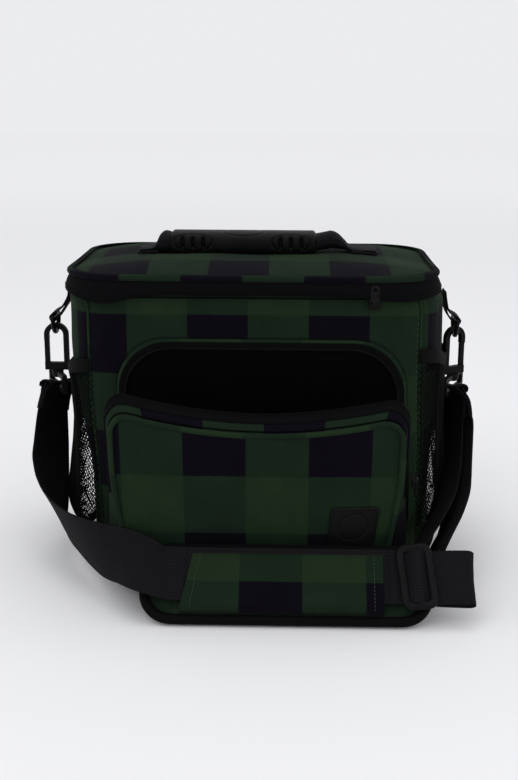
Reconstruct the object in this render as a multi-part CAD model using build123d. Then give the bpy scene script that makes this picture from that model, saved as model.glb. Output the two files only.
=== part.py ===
from build123d import *
import os
from math import cos, hypot, radians, sin

# Insulated cooler bag, millimetres. X runs left to right, Y from the front (-) to the back (+), Z up.
# The origin is the middle of the base's underside. The bag is a soft box with a zipped lid that hinges
# at the back, a zipped front pocket that stands open, mesh side pockets, a rubber-gripped carry handle
# and a clip-on shoulder strap that lies round the front of the bag with its pad on the ground.

# ---------------------------------------------------------------- driving dimensions
BODY_W, BODY_D, BODY_R = 316.0, 196.0, 40.0     # outer fabric of the box, in plan
SEAM_Z = 250.0                                  # the zip line between body and lid
FABRIC, FOAM, LINER = 1.6, 8.0, 1.0             # wall layers, from outside to inside
BASE_TOP = 2.0                                  # top of the base fabric
WALL_TOP = 248.0                                # top of the wall fabric
SIDE_SEAM_X = 140.0                             # seams between the front, back and side panels
ZIP_BACK_Y = 72.0                               # the lid zip runs round the front as far back as this

COIL_IN, COIL_OUT = 0.9, 2.8                    # zip coil rows, out from the body fabric
COIL_GAP, COIL_H = 0.3, 2.9
TAPE = 0.8

LID_TOP, LID_EDGE_R = 274.0, 9.0
BAND_IN, BAND_OUT, BAND_LOW, BAND_TOP = 3.8, 5.0, 251.0, 262.0
PIPING_R, PIPING_OUT, PIPING_Z = 2.7, 4.6, 264.9

GRIP_X, GRIP_L, GRIP_D, GRIP_H, GRIP_LOW = -10.0, 130.0, 34.0, 20.0, 274.6
HANDLE_WEB_W, HANDLE_WEB_T = 38.0, 2.0
HANDLE_ENDS = ((-104.0, -88.0), (88.0, 110.0))   # where the handle's webbing is sewn to the lid

POCKET_X = 6.0                                  # the front pocket sits a little right of the middle
RIM_HALF, RIM_LOW, RIM_TOP, RIM_R = 126.0, 44.0, 212.0, 40.0
FACE_HALF, FACE_LOW, FACE_TOP, FACE_R = 118.0, 45.0, 210.0, 34.0
FACE_Y_TOP, FACE_Y_LOW = -123.0, -139.0         # the pocket's front leans, and is deepest at the bottom
LOW_R = 24.0                                    # rounding of the pocket's bottom corners
RIM_Y = -109.0                                  # back edge of the pocket's gusset when it is zipped shut
ZIP_END_Z = 128.0                               # the pocket zip runs round the top down to this height
POCKET_PIVOT, POCKET_OPEN = (0.0, 20.0, 19.0), 14.0   # the pocket sags forward and down by this turn

RING_X, RING_Z = 183.0, 212.0                   # middle of each D-ring's bar
RING_R, RING_WIRE = 14.5, 2.0
TAB_W = 22.5

HOOK_BOW_R, HOOK_T, HOOK_DEPTH = 6.6, 4.6, 4.6
HOOK_APEX = RING_WIRE + 1.6                     # inside top of the hook's bow above the ring's wire
HOOK_LEG = 29.0                                 # from the wire down to the hook's shoulder
RIGHT_HOOK_TURN = 32.0                          # the right hook is turned in its swivel
PIN_R, PIN_CLEAR = 3.0, 0.08

WEB_W, WEB_T = 45.0, 1.6                        # shoulder strap webbing
EYE_IN_W, EYE_BAR = WEB_W + 1.5, 4.0
PAD_MID = (31.0, -178.6, 27.2)                  # the pad leans back on the pocket, standing on one edge
PAD_LEAN = 41.0                                 # degrees back from upright
PAD_L, PAD_W, PAD_T, PAD_R = 232.0, 62.0, 7.0, 24.0
BIND_W, BIND_T = 5.0, 9.0
SLEEVE_L, SLEEVE_W = 160.0, 51.0
STRAP_OUT = PAD_T / 2 + 6.3                     # middle of the webbing, out from the pad's middle plane
STRAP_UP = 5.0                                  # the webbing lies this much above the pad's middle
SLIDER_X, SLIDER_W, SLIDER_H = 136.0, 29.0, 53.0
FOLD_X = 181.0                                  # where the spare webbing folds back

os.makedirs("parts", exist_ok=True)


# ---------------------------------------------------------------- helpers
def save(name, shape):
    export_step(shape, f"parts/{name}.step")


def outline(grow=0.0):
    """The bag's plan outline, grown outwards by grow."""
    return RectangleRounded(BODY_W + 2 * grow, BODY_D + 2 * grow, BODY_R + grow)


def block(low, high, grow=0.0):
    """A solid of the plan outline between two heights."""
    return Pos(0, 0, low) * extrude(outline(grow), high - low)


def ring(low, high, inner, outer):
    """A wall that follows the plan outline, from inner to outer growth."""
    return Pos(0, 0, low) * extrude(outline(outer) - outline(inner), high - low)


def box(x, y, z):
    """A box from three (low, high) pairs."""
    size = [b - a for a, b in (x, y, z)]
    middle = [(a + b) / 2 for a, b in (x, y, z)]
    return Pos(*middle) * Box(*size)


FAR = 400.0
ZIP_ZONE = box((-FAR, FAR), (-FAR, ZIP_BACK_Y), (0, FAR))
BACK_ZONE = box((-FAR, FAR), (ZIP_BACK_Y + 0.4, FAR), (0, FAR))


def arch(half, low, top, r_top, r_low):
    """A pocket outline: square sides, large top corners, small bottom ones. Drawn about its own middle."""
    shape = Rectangle(2 * half, top - low)
    shape = fillet(shape.vertices().group_by(Axis.Y)[-1], r_top)
    return fillet(shape.vertices().group_by(Axis.Y)[0], r_low)


def mirrored(name, make):
    """Saves the left piece that make() returns, and its mirror image as the right one."""
    left = make()
    save(f"left_{name}", left)
    save(f"right_{name}", mirror(left, Plane.YZ))


# ---------------------------------------------------------------- body: fabric, foam and liner
def body_panels():
    wall = ring(BASE_TOP, WALL_TOP, -FABRIC, 0)
    front = wall & box((-SIDE_SEAM_X, SIDE_SEAM_X), (-FAR, 0), (0, FAR))
    back = wall & box((-SIDE_SEAM_X, SIDE_SEAM_X), (0, FAR), (0, FAR))
    save("front_panel", front)
    save("back_panel", back)
    mirrored("side_panel", lambda: wall & box((-FAR, -SIDE_SEAM_X), (-FAR, FAR), (0, FAR)))
    save("base_panel", block(0, BASE_TOP))


def insulation():
    floor_top = BASE_TOP + FOAM
    save("base_foam", block(BASE_TOP, floor_top, -FABRIC))
    inner = -FABRIC - FOAM
    save("wall_foam", ring(floor_top, WALL_TOP - 2, inner, -FABRIC))
    liner = ring(floor_top, WALL_TOP - 2, inner - LINER, inner)
    save("inner_liner", liner + block(floor_top, floor_top + LINER, inner - LINER))
    save("rim_binding", ring(WALL_TOP - 2, WALL_TOP, inner - LINER, -FABRIC))


def body_zip():
    tape = ring(SEAM_Z - 12, SEAM_Z - COIL_GAP - COIL_H, 0, TAPE) & ZIP_ZONE
    save("body_zip_tape", tape)
    low = SEAM_Z - COIL_GAP - COIL_H
    save("body_zip_coil", ring(low, SEAM_Z - COIL_GAP, COIL_IN - 0.9, COIL_OUT) & ZIP_ZONE)
    hinge = ring(SEAM_Z - 14, SEAM_Z - COIL_GAP, 0, FABRIC) & BACK_ZONE
    save("lid_hinge_strip", hinge & box((-110, 110), (0, FAR), (0, FAR)))


# ---------------------------------------------------------------- lid
def lid():
    low = SEAM_Z + COIL_GAP
    tape_in = COIL_OUT + 0.1
    save("lid_zip_coil", ring(low, low + COIL_H, COIL_IN, COIL_OUT) & ZIP_ZONE)
    save("lid_zip_tape", ring(low, BAND_TOP - 0.3, tape_in, tape_in + TAPE) & ZIP_ZONE)
    save("lid_band", ring(BAND_LOW, BAND_TOP, BAND_IN, BAND_OUT) & ZIP_ZONE)
    save("lid_back_gusset", ring(low, BAND_TOP, 0.2, 2.0) & BACK_ZONE)
    foam_low = low + COIL_H + 1.2
    save("lid_liner", block(foam_low - 1.0, foam_low, -0.2))
    foam_top = LID_TOP - FABRIC
    foam = block(foam_low, foam_top, -0.2)
    foam = fillet(foam.faces().sort_by(Axis.Z)[-1].edges(), LID_EDGE_R - 2)
    save("lid_foam", foam)
    shell = block(BAND_TOP, LID_TOP, 1.8)
    shell = fillet(shell.faces().sort_by(Axis.Z)[-1].edges(), LID_EDGE_R)
    save("lid_top_panel", shell - foam)
    cord_in = PIPING_OUT - PIPING_R
    cord = ring(PIPING_Z - PIPING_R, PIPING_Z + PIPING_R, cord_in, cord_in + 2 * PIPING_R)
    save("lid_piping", fillet(cord.edges(), PIPING_R * 0.85))


# ---------------------------------------------------------------- carry handle
def strip_profile(points, thick, width):
    """A strip of webbing bent in the XZ plane along points, width across Y."""
    path = FilletPolyline(*points, radius=4.0) if len(points) > 2 else Line(*points)
    return extrude(Plane.XZ * trace(path, thick), width / 2, both=True)


def handle():
    top = LID_TOP + 0.3
    web_z = GRIP_LOW + GRIP_H * 0.42
    left, right = GRIP_X - GRIP_L / 2, GRIP_X + GRIP_L / 2
    half = HANDLE_WEB_T / 2
    anchors = [box(ends, (-HANDLE_WEB_W / 2, HANDLE_WEB_W / 2), (LID_TOP, LID_TOP + 3.0)) for ends in HANDLE_ENDS]
    save("handle_anchors", Compound(anchors))
    foot = top + half + 0.8
    route = [(-85.0, foot), (-80.0, top + 9), (-72.0, web_z), (68.0, web_z), (84.0, foot)]
    save("handle_webbing", strip_profile(route, HANDLE_WEB_T, HANDLE_WEB_W))
    grip = box((left, right), (-GRIP_D / 2 - 4, GRIP_D / 2 + 4), (GRIP_LOW, GRIP_LOW + GRIP_H))
    grip = fillet(grip.edges().filter_by(Axis.X), 7.5)
    grip = fillet(grip.faces().sort_by(Axis.X)[0].edges() + grip.faces().sort_by(Axis.X)[-1].edges(), 1.5)
    slot = box((-FAR, FAR), (-HANDLE_WEB_W / 2 - 0.4, HANDLE_WEB_W / 2 + 0.4), (web_z - 1.4, web_z + 1.4))
    grip = grip - slot
    for x in (-52.0, -42.0, -32.0, 32.0, 42.0, 52.0):
        for side in (-1, 1):
            vent = Pos(GRIP_X + x, side * (GRIP_D / 2 + 4), GRIP_LOW + GRIP_H / 2) * Rot(90, 0, 0)
            grip = grip - vent * extrude(SlotOverall(9.0, 3.4, rotation=90), 1.6, both=True)
    save("handle_grip", grip)


# ---------------------------------------------------------------- front pocket
def upright(y, low, top):
    """A plane facing the front at depth y, with its middle between two heights."""
    return Plane(origin=(POCKET_X, y, (low + top) / 2), x_dir=(1, 0, 0), z_dir=(0, -1, 0))


def face_plane(out=0.0):
    """The pocket's leaning front plane, moved outwards by out."""
    rise, run = FACE_TOP - FACE_LOW, FACE_Y_TOP - FACE_Y_LOW
    slope = hypot(rise, run)
    normal = (0, -rise / slope, run / slope)
    middle = ((FACE_Y_TOP + FACE_Y_LOW) / 2, (FACE_LOW + FACE_TOP) / 2)
    origin = (POCKET_X, middle[0] + out * normal[1], middle[1] + out * normal[2])
    return Plane(origin=origin, x_dir=(1, 0, 0), z_dir=normal)


def face_shape(grow):
    slope = hypot(FACE_TOP - FACE_LOW, FACE_Y_TOP - FACE_Y_LOW)
    return arch(FACE_HALF + grow, -slope / 2 - grow, slope / 2 + grow, FACE_R + grow, LOW_R + grow)


def rim_shape(grow):
    return arch(RIM_HALF + grow, RIM_LOW - grow, RIM_TOP + grow, RIM_R + grow, LOW_R + 2 + grow)


def opened(shape):
    """Turns a piece of the pocket from zipped shut to the open rest pose."""
    return shape.rotate(Axis(POCKET_PIVOT, (1, 0, 0)), POCKET_OPEN)


def pocket_back():
    """What is sewn to the body: lining, edging and the back half of the pocket's zip."""
    y = -BODY_D / 2
    lining = upright(y, RIM_LOW, RIM_TOP) * extrude(rim_shape(-0.5), 1.0)
    save("pocket_back_lining", lining)
    top_zone = box((-FAR, FAR), (-FAR, 0), (ZIP_END_Z, FAR))
    edging = upright(y, RIM_LOW, RIM_TOP) * extrude(rim_shape(1.5) - rim_shape(-0.2), 5.5)
    save("pocket_back_edging", edging & top_zone)
    coil = upright(y - 5.6, RIM_LOW, RIM_TOP) * extrude(rim_shape(1.0) - rim_shape(-1.2), 2.4)
    save("pocket_back_coil", coil & top_zone)


def pocket_front():
    """What swings open: gusset, zip band, front panel, padding, lining, piping and patch."""
    skin = 1.6

    def wedge(grow):
        sections = [upright(RIM_Y, RIM_LOW, RIM_TOP) * rim_shape(grow), face_plane() * face_shape(grow)]
        return loft(sections, ruled=True)

    gusset = wedge(0) - wedge(-skin)
    band_zone = box((-FAR, FAR), (RIM_Y - 11.0, 0), (ZIP_END_Z, FAR))
    save("pocket_zip_band", opened(gusset & band_zone))
    save("pocket_gusset", opened(gusset - band_zone))
    coil = upright(RIM_Y + 0.2, RIM_LOW, RIM_TOP) * extrude(rim_shape(0.4) - rim_shape(-1.8), -2.0)
    save("pocket_front_coil", opened(coil & box((-FAR, FAR), (-FAR, 0), (ZIP_END_Z, FAR))))
    save("pocket_front_panel", opened(face_plane() * extrude(face_shape(0), skin)))
    save("pocket_front_lining", opened(face_plane(-0.8) * extrude(face_shape(-skin - 1.0), 0.8)))
    cord = face_plane(-0.2) * extrude(face_shape(2.6) - face_shape(0.1), 3.4)
    save("pocket_piping", opened(cord))
    patch = face_plane(skin) * (Pos(83.0, -17.0) * extrude(RectangleRounded(41, 36, 2), 1.4))
    save("leather_patch", opened(patch))


# ---------------------------------------------------------------- zip sliders and pulls
def slider_with_pull(pull_length):
    """A slider's body and its pull, drawn standing up on the XZ plane with the front towards -Y."""
    plate = box((-4.5, 4.5), (-1.4, 0), (-5.5, 5.0))
    plate = fillet(plate.edges().filter_by(Axis.Y), 2.0)
    flange = box((-4.5, 4.5), (-0.1, 2.1), (-5.5, -3.9))
    crown_z = -2.0
    ears = [box((a, a + 1.2), (-4.2, -1.3), (crown_z - 1.6, crown_z + 1.6)) for a in (-3.4, 2.2)]
    axle = Pos(0, -3.0, crown_z) * Rot(0, 90, 0) * Cylinder(0.7, 5.0)
    body = plate + flange + ears[0] + ears[1] + axle
    eye = Pos(0, -3.0, crown_z) * Rot(0, 90, 0) * (Cylinder(1.42, 4.0) - Cylinder(0.78, 5.0))
    blade = Pos(0, -3.0, crown_z) * box((-3.6, 3.6), (-0.7, 0.7), (2.6, pull_length))
    neck = Pos(0, -3.0, crown_z) * box((-1.9, 1.9), (-0.6, 0.6), (1.1, 3.6))
    blade = fillet(blade.edges().filter_by(Axis.Y).group_by(Axis.Z)[-1], 3.0)
    hole = Pos(0, -3.0, crown_z + pull_length - 3.6) * Rot(90, 0, 0) * Cylinder(1.7, 4)
    return body, eye + neck + blade - hole


def zip_sliders():
    body, pull = slider_with_pull(17.0)
    place = Pos(102.0, -BODY_D / 2 - COIL_OUT - 0.25, SEAM_Z - 5.0)
    save("lid_zip_slider", place * body)
    save("lid_zip_pull", place * pull)
    body, pull = slider_with_pull(17.0)
    hang = Pos(POCKET_X + RIM_HALF + 2.8, RIM_Y - 2.0, ZIP_END_Z + 9.0) * Rot(0, 0, 90) * Rot(0, 180, 0)
    save("pocket_zip_slider", opened(hang * body))
    save("pocket_zip_pull", opened(hang * pull))


# ---------------------------------------------------------------- mesh side pockets
MESH_TOP, MESH_LOW = 190.0, 12.0


def mesh_curve(bulge, out=0.0):
    """Half-plan points of the mesh from the front seam round to the back seam, on the left."""
    side = -BODY_W / 2 - bulge - out
    seam_x, seam_y = -SIDE_SEAM_X - 1.0, BODY_D / 2 - 3.2 + out
    pts = [(seam_x, -seam_y), (-154.6 - out - bulge * 0.15, -80.0 - bulge * 0.2), (side + bulge * 0.35, -50.0)]
    back = [(x, -y) for x, y in reversed(pts)]
    return pts + [(side, 0.0)] + back


def mesh_wall(low, high, bulge_low, bulge_high, inner, outer):
    """A thin wall between two heights whose bulge changes from low to high."""
    def section(z, bulge, out):
        rim = Spline(*mesh_curve(bulge, out))
        close = Line(rim @ 1, rim @ 0)
        return Pos(0, 0, z) * make_face([rim, close])
    solid = loft([section(low, bulge_low, outer), section(high, bulge_high, outer)], ruled=True)
    core = loft([section(low, bulge_low, inner), section(high, bulge_high, inner)], ruled=True)
    return solid - core


def mesh_pockets():
    waist, waist_bulge = 96.0, 13.0

    def sheet():
        lower = mesh_wall(MESH_LOW, waist, 3.0, waist_bulge, 0.0, 1.2)
        upper = mesh_wall(waist, MESH_TOP - 14, waist_bulge, 5.5, 0.0, 1.2)
        return lower + upper

    mirrored("mesh_pocket", sheet)
    mirrored("pocket_elastic", lambda: mesh_wall(MESH_TOP - 14, MESH_TOP, 5.5, 5.0, -0.3, 1.5))


# ---------------------------------------------------------------- D-rings and their tabs
def d_ring():
    """A wire D lying in the YZ plane: its bar along Y at the origin and its bow below."""
    bow = Rot(0, 90, 0) * Torus(RING_R, RING_WIRE)
    bow = bow & box((-5, 5), (-FAR, FAR), (-FAR, 0))
    bar = Rot(90, 0, 0) * Cylinder(RING_WIRE, 2 * RING_R)
    corners = Pos(0, -RING_R, 0) * Sphere(RING_WIRE) + Pos(0, RING_R, 0) * Sphere(RING_WIRE)
    return bow + bar + corners


def ring_tab():
    """Left tab: a loop of webbing round the ring's bar, sewn to the side panel above it."""
    side = -BODY_W / 2
    loop = Pos(-RING_X, 0, RING_Z) * Rot(90, 0, 0) * Cylinder(RING_WIRE + 2.0, TAB_W)
    wing = Plane.XZ * make_face(Polyline(
        (-RING_X - 2.6, RING_Z + 2.9), (side, RING_Z + 22), (side, RING_Z + 12), (-RING_X + 1.2, RING_Z - 3.4),
        close=True))
    wing = extrude(wing, TAB_W / 2, both=True)
    patch = box((side - 2.2, side), (-TAB_W / 2, TAB_W / 2), (RING_Z + 10, RING_Z + 25.5))
    bore = Pos(-RING_X, 0, RING_Z) * Rot(90, 0, 0) * Cylinder(RING_WIRE + 0.35, TAB_W + 2)
    return loop + wing + patch - bore


def rings():
    mirrored("d_ring", lambda: Pos(-RING_X, 0, RING_Z) * d_ring())
    mirrored("ring_tab", ring_tab)


# ---------------------------------------------------------------- snap hooks
def hook_and_gate():
    """A hook drawn with the ring's wire at the origin, its bow in the XZ plane and its pin pointing down."""
    centre_z = HOOK_APEX - HOOK_BOW_R
    mid_r = HOOK_BOW_R + HOOK_T / 2
    outer = Circle(mid_r + HOOK_T / 2) - Circle(mid_r - HOOK_T / 2)
    bow = outer & (Pos(0, 50) * Rectangle(100, 100))
    leg = Pos(mid_r, -(HOOK_LEG + centre_z) / 2) * Rectangle(HOOK_T, HOOK_LEG + centre_z)
    stub = Pos(-mid_r, -2.5) * Rectangle(HOOK_T, 5.0)
    shoulder_h = 7.0
    shoulder = Pos(0, -(HOOK_LEG + centre_z) - shoulder_h / 2 + 0.01) * Rectangle(2 * mid_r + HOOK_T, shoulder_h)
    profile = Plane.XZ * (Pos(0, centre_z) * (bow + leg + stub + shoulder))
    hook = extrude(profile, HOOK_DEPTH / 2, both=True)
    low = -HOOK_LEG - shoulder_h
    notch = box((-mid_r - HOOK_T, -mid_r + HOOK_T / 2 + 1.4), (-1.7, 1.7), (-HOOK_LEG - 4.6, -HOOK_LEG + 1))
    hinge = (-mid_r, 0, -HOOK_LEG - 1.8)
    axle = Pos(*hinge) * Rot(90, 0, 0) * Cylinder(0.9, HOOK_DEPTH)
    hook = hook - notch + axle
    stem = Pos(0, 0, low - 2.4) * Cylinder(PIN_R, 4.9)
    head = Pos(0, 0, low - 5.7) * Cylinder(PIN_R + 1.6, 1.8)
    hook = hook + stem + head
    gate_top = centre_z - 5.0 - 0.25
    gate = box((-mid_r - HOOK_T / 2, -mid_r + HOOK_T / 2), (-1.4, 1.4), (hinge[2], gate_top))
    knuckle = Pos(*hinge) * Rot(90, 0, 0) * Cylinder(HOOK_T / 2 - 0.1, 2.8)
    bore = Pos(*hinge) * Rot(90, 0, 0) * Cylinder(0.98, 6)
    return hook, gate + knuckle - bore


PIN_LOW = -HOOK_LEG - 7.0                        # underside of the hook's shoulder


def strap_eye():
    """The frame that the webbing loops through, hung on the hook's pin. Its long side runs along Y."""
    top = PIN_LOW - 0.3
    height = 17.0
    half = EYE_IN_W / 2 + EYE_BAR
    frame = box((-2.3, 2.3), (-half, half), (top - height, top))
    frame = fillet(frame.edges().filter_by(Axis.X), 3.0)
    frame = frame - box((-5, 5), (-EYE_IN_W / 2, EYE_IN_W / 2), (top - height + EYE_BAR, top - 4.2))
    collar = Pos(0, 0, top - 2.1) * Cylinder(PIN_R + 2.4, 4.2)
    return frame + collar - Pos(0, 0, top - 2) * Cylinder(PIN_R + PIN_CLEAR, 8)


def hooks():
    hook, gate = hook_and_gate()
    wire_z = RING_Z - RING_R
    for side, sign, turn, eye_turn in (("left", -1, 0.0, 24.0), ("right", 1, RIGHT_HOOK_TURN, -24.0)):
        place = Pos(sign * RING_X, 0, wire_z)
        facing = Rot(0, 0, turn) * (Rot(0, 0, 180) if sign > 0 else Rot(0, 0, 0))
        save(f"{side}_hook", place * facing * hook)
        save(f"{side}_hook_gate", place * facing * gate)
        save(f"{side}_strap_eye", place * Rot(0, 0, eye_turn) * strap_eye())


# ---------------------------------------------------------------- shoulder strap
def pad_plane(out=0.0):
    """The plane the pad lies in, leaning back on the pocket. Local X is along the strap, Y up the pad."""
    lean = radians(PAD_LEAN)
    normal = (0, -cos(lean), sin(lean))
    origin = tuple(m + out * n for m, n in zip(PAD_MID, normal))
    return Plane(origin=origin, x_dir=(1, 0, 0), z_dir=normal)


def ribbon(stations, width=WEB_W, thick=WEB_T):
    """Webbing through stations of (middle, direction across the webbing), as flat lengths."""
    points = [Vector(*p) for p, _ in stations]
    sections = []
    for i, (_, across) in enumerate(stations):
        along = points[min(i + 1, len(points) - 1)] - points[max(i - 1, 0)]
        across = Vector(*across)
        across = across - along * (across.dot(along) / along.dot(along))
        plane = Plane(origin=points[i], x_dir=across.normalized(), z_dir=along.normalized())
        sections.append(plane * Rectangle(width, thick))
    return loft(sections, ruled=True)


EYE_BAR_Z = RING_Z - RING_R + PIN_LOW - 0.3 - 17.0 + EYE_BAR / 2
UP_PAD = (0.0, sin(radians(PAD_LEAN)), cos(radians(PAD_LEAN)))


def on_pad(x, out, up=0.0):
    """A point of the pad's plane: x along the bag, out from the pad's middle, up across its width."""
    lean = radians(PAD_LEAN)
    return (x, PAD_MID[1] - out * cos(lean) + up * sin(lean), PAD_MID[2] + out * sin(lean) + up * cos(lean))


def strap_webbing():
    """The webbing, in runs. Each station is its middle and the direction across it, back or lower edge first."""
    eye_low = EYE_BAR_Z - 2.6
    left = [
        ((-RING_X - 1.0, 0.0, eye_low), (-0.41, -0.91, 0.0)),
        ((-191.0, -6.0, 112.0), (-0.50, -0.86, 0.05)),
        ((-193.0, -11.0, 82.0), (-0.60, -0.76, 0.25)),
        ((-189.0, -32.0, 58.0), (-0.48, -0.78, 0.40)),
        ((-176.5, -72.0, 38.0), (-0.30, -0.38, 0.88)),
        ((-152.0, -113.0, 39.0), (-0.30, -0.15, 0.94)),
        ((-123.5, -149.0, 44.0), (-0.22, 0.10, 0.97)),
        ((-97.0, -170.0, 44.5), (-0.12, 0.35, 0.93)),
        (on_pad(-76.0, STRAP_OUT, 9.0), UP_PAD),
        (on_pad(-58.2, STRAP_OUT, STRAP_UP), UP_PAD),
    ]
    save("strap_left_run", ribbon(left))
    front = ribbon([(on_pad(x, STRAP_OUT, STRAP_UP), UP_PAD) for x in (-58.0, FOLD_X)])
    bend_r = 2.2
    back_out = STRAP_OUT - 2 * bend_r
    fold = pad_plane(STRAP_OUT - bend_r) * Pos(FOLD_X - PAD_MID[0], STRAP_UP, 0)
    bend = fold * Rot(90, 0, 0) * (Cylinder(bend_r + WEB_T / 2, WEB_W) - Cylinder(bend_r - WEB_T / 2, WEB_W + 2))
    bend = bend & (fold * (Pos(50, 0, 0) * Box(100, 100, 100)))
    back = ribbon([(on_pad(x, back_out, STRAP_UP), UP_PAD) for x in (FOLD_X, 160.0)])
    save("strap_front_run", front + bend + back)
    outer = [
        ((RING_X + 5.0, -2.0, eye_low), (0.38, -0.92, 0.0)),
        ((194.0, -3.0, 118.0), (0.30, -0.93, 0.15)),
        ((192.0, -22.0, 98.0), (0.05, -0.95, 0.30)),
        ((186.0, -46.0, 80.0), (0.0, -0.93, 0.33)),
        ((181.0, -75.0, 69.0), (0.12, -0.92, 0.36)),
        ((168.5, -113.0, 60.0), (0.30, -0.82, 0.48)),
        ((157.0, -146.0, 52.0), (0.40, -0.45, 0.79)),
    ]
    save("strap_right_outer", ribbon(outer))
    inner = [
        ((RING_X - 0.5, 0.0, eye_low), (0.38, -0.92, 0.0)),
        ((184.5, -1.0, 118.0), (0.30, -0.93, 0.15)),
        ((182.5, -20.0, 94.0), (0.05, -0.95, 0.30)),
        ((179.8, -45.0, 75.0), (0.0, -0.93, 0.33)),
        ((174.8, -74.0, 65.0), (0.12, -0.92, 0.36)),
        ((162.0, -112.0, 56.0), (0.30, -0.82, 0.48)),
        ((149.0, -140.0, 48.0), (0.40, -0.45, 0.79)),
    ]
    save("strap_right_inner", ribbon(inner))


def strap_slider():
    """A three-bar slider: the webbing passes under its two side bars and over its middle bar."""
    plane = pad_plane(STRAP_OUT) * Pos(SLIDER_X - PAD_MID[0], STRAP_UP, 0)
    web_half = WEB_T / 2
    side_t, end_deep, bar_r = 3.4, 2.0, 1.3
    plate = Pos(0, 0, -end_deep) * extrude(RectangleRounded(SLIDER_W, SLIDER_H, 6), end_deep + web_half + side_t)
    plate = plate - Box(SLIDER_W - 8, WEB_W + 1.6, 40)
    channel = Pos(0, 0, web_half + 0.5 - 10) * Box(60, WEB_W + 1.6, 20)
    bar_out = -web_half - 0.4 - bar_r
    bar = Pos(0, 0, bar_out) * Rot(90, 0, 0) * Cylinder(bar_r, WEB_W + 3)
    lug = Pos(0, 0, -2.2) * Box(2 * bar_r, WEB_W + 5, 3.2) - Box(10, WEB_W + 1.6, 40)
    save("strap_slider", plane * (plate - channel + bar + lug))
    loop = Cylinder(bar_r + 1.4, WEB_W - 1) - Cylinder(bar_r + 0.2, WEB_W)
    loop = Pos(0, 0, bar_out) * Rot(90, 0, 0) * loop
    save("strap_end_loop", plane * (loop & Pos(0, 0, bar_out - 50) * Box(100, 100, 100)))


def shoulder_pad():
    plane = pad_plane(-PAD_T / 2)
    base = plane * extrude(RectangleRounded(PAD_L - 2 * BIND_W + 2, PAD_W - 2 * BIND_W + 2, PAD_R - 4), PAD_T)
    edge = RectangleRounded(PAD_L, PAD_W, PAD_R) - RectangleRounded(
        PAD_L - 2 * BIND_W, PAD_W - 2 * BIND_W, PAD_R - BIND_W)
    binding = pad_plane(-BIND_T / 2 + 0.4) * extrude(edge, BIND_T - 0.8)
    save("pad_binding", binding)
    save("shoulder_pad", base - binding)
    sleeve_in, sleeve_out = PAD_T / 2 + 0.1, STRAP_OUT + 2.2
    sleeve = extrude(Rectangle(SLEEVE_L, SLEEVE_W), sleeve_out - sleeve_in)
    channel = Pos(0, STRAP_UP, STRAP_OUT - sleeve_in) * Box(SLEEVE_L + 2, WEB_W + 0.6, WEB_T + 1.0)
    save("pad_sleeve", pad_plane(sleeve_in) * (Pos(-2.0, 0, 0) * (sleeve - channel)))


body_panels()
insulation()
body_zip()
lid()
handle()
pocket_back()
pocket_front()
zip_sliders()
mesh_pockets()
rings()
hooks()
strap_webbing()
strap_slider()
shoulder_pad()
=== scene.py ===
from math import cos, pi, radians, sin, tau

import bmesh
import bpy
import numpy as np
from mathutils import Matrix, Vector


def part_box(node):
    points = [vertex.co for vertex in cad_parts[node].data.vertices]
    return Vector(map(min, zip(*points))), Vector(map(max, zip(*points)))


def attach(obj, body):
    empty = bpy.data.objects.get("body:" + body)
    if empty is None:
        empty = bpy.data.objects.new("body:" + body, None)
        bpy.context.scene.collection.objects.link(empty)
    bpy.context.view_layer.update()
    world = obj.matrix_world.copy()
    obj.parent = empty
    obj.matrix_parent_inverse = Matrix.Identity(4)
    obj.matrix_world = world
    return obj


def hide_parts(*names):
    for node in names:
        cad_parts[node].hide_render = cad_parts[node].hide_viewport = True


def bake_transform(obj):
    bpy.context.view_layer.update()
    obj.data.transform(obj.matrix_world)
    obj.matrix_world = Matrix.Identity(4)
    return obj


# An insulated cooler bag in checked cloth, standing on a pale floor. Lengths are in millimetres, and the
# mesh helpers turn them into metres. X runs to the right, Y to the back and Z up, from the base's middle.

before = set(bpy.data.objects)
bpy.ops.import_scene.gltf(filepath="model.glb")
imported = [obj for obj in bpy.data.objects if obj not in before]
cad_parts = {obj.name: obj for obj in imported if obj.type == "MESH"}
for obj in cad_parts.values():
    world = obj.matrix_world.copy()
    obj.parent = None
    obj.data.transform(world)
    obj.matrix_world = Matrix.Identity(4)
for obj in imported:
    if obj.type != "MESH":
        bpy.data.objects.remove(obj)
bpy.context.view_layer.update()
MM = 0.001


def node_box(name):
    """Lowest and highest corner of a CAD node, in millimetres."""
    low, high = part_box(name)
    return np.array(low) / MM, np.array(high) / MM


# ------------------------------------------------------------------ sizes taken from the frame
BASE_LOW, BASE_HIGH = node_box("base_panel")
BODY_W, BODY_D = BASE_HIGH[0] - BASE_LOW[0], BASE_HIGH[1] - BASE_LOW[1]
BODY_R = 40.0
WALL_TOP = node_box("front_panel")[1][2]
PIPING_Z = float(np.mean([b[2] for b in node_box("lid_piping")]))
RING_X = float(np.mean([b[0] for b in node_box("right_d_ring")]))
RING_Z = node_box("right_d_ring")[1][2] - 2.0
CHECK = 50.8                      # one square of the cloth's check
SEAM_S = 141.3                    # perimeter distance from the front's middle to the front corner seams
POCKET_X = 6.0
POCKET_OPEN = radians(14.0)
POCKET_PIVOT = (20.0, 19.0)       # in Y and Z
WEB_W, WEB_T = 45.0, 1.6
PAD_LEAN = radians(41.0)
PAD_MID = np.array([31.0, -178.6, 27.2])
PAD_L, PAD_W = 232.0, 62.0
STRAP_OUT, STRAP_UP = 9.8, 5.0
UP = np.array([0.0, 0.0, 1.0])
FRONTWARD = np.array([0.0, -1.0, 0.0])


# ------------------------------------------------------------------ small geometry tools
def plan_uv(p):
    """Cloth coordinates seen from above."""
    return p[0], p[1]


def face_uv(p):
    """Cloth coordinates seen from the front."""
    return p[0], p[2]


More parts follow.
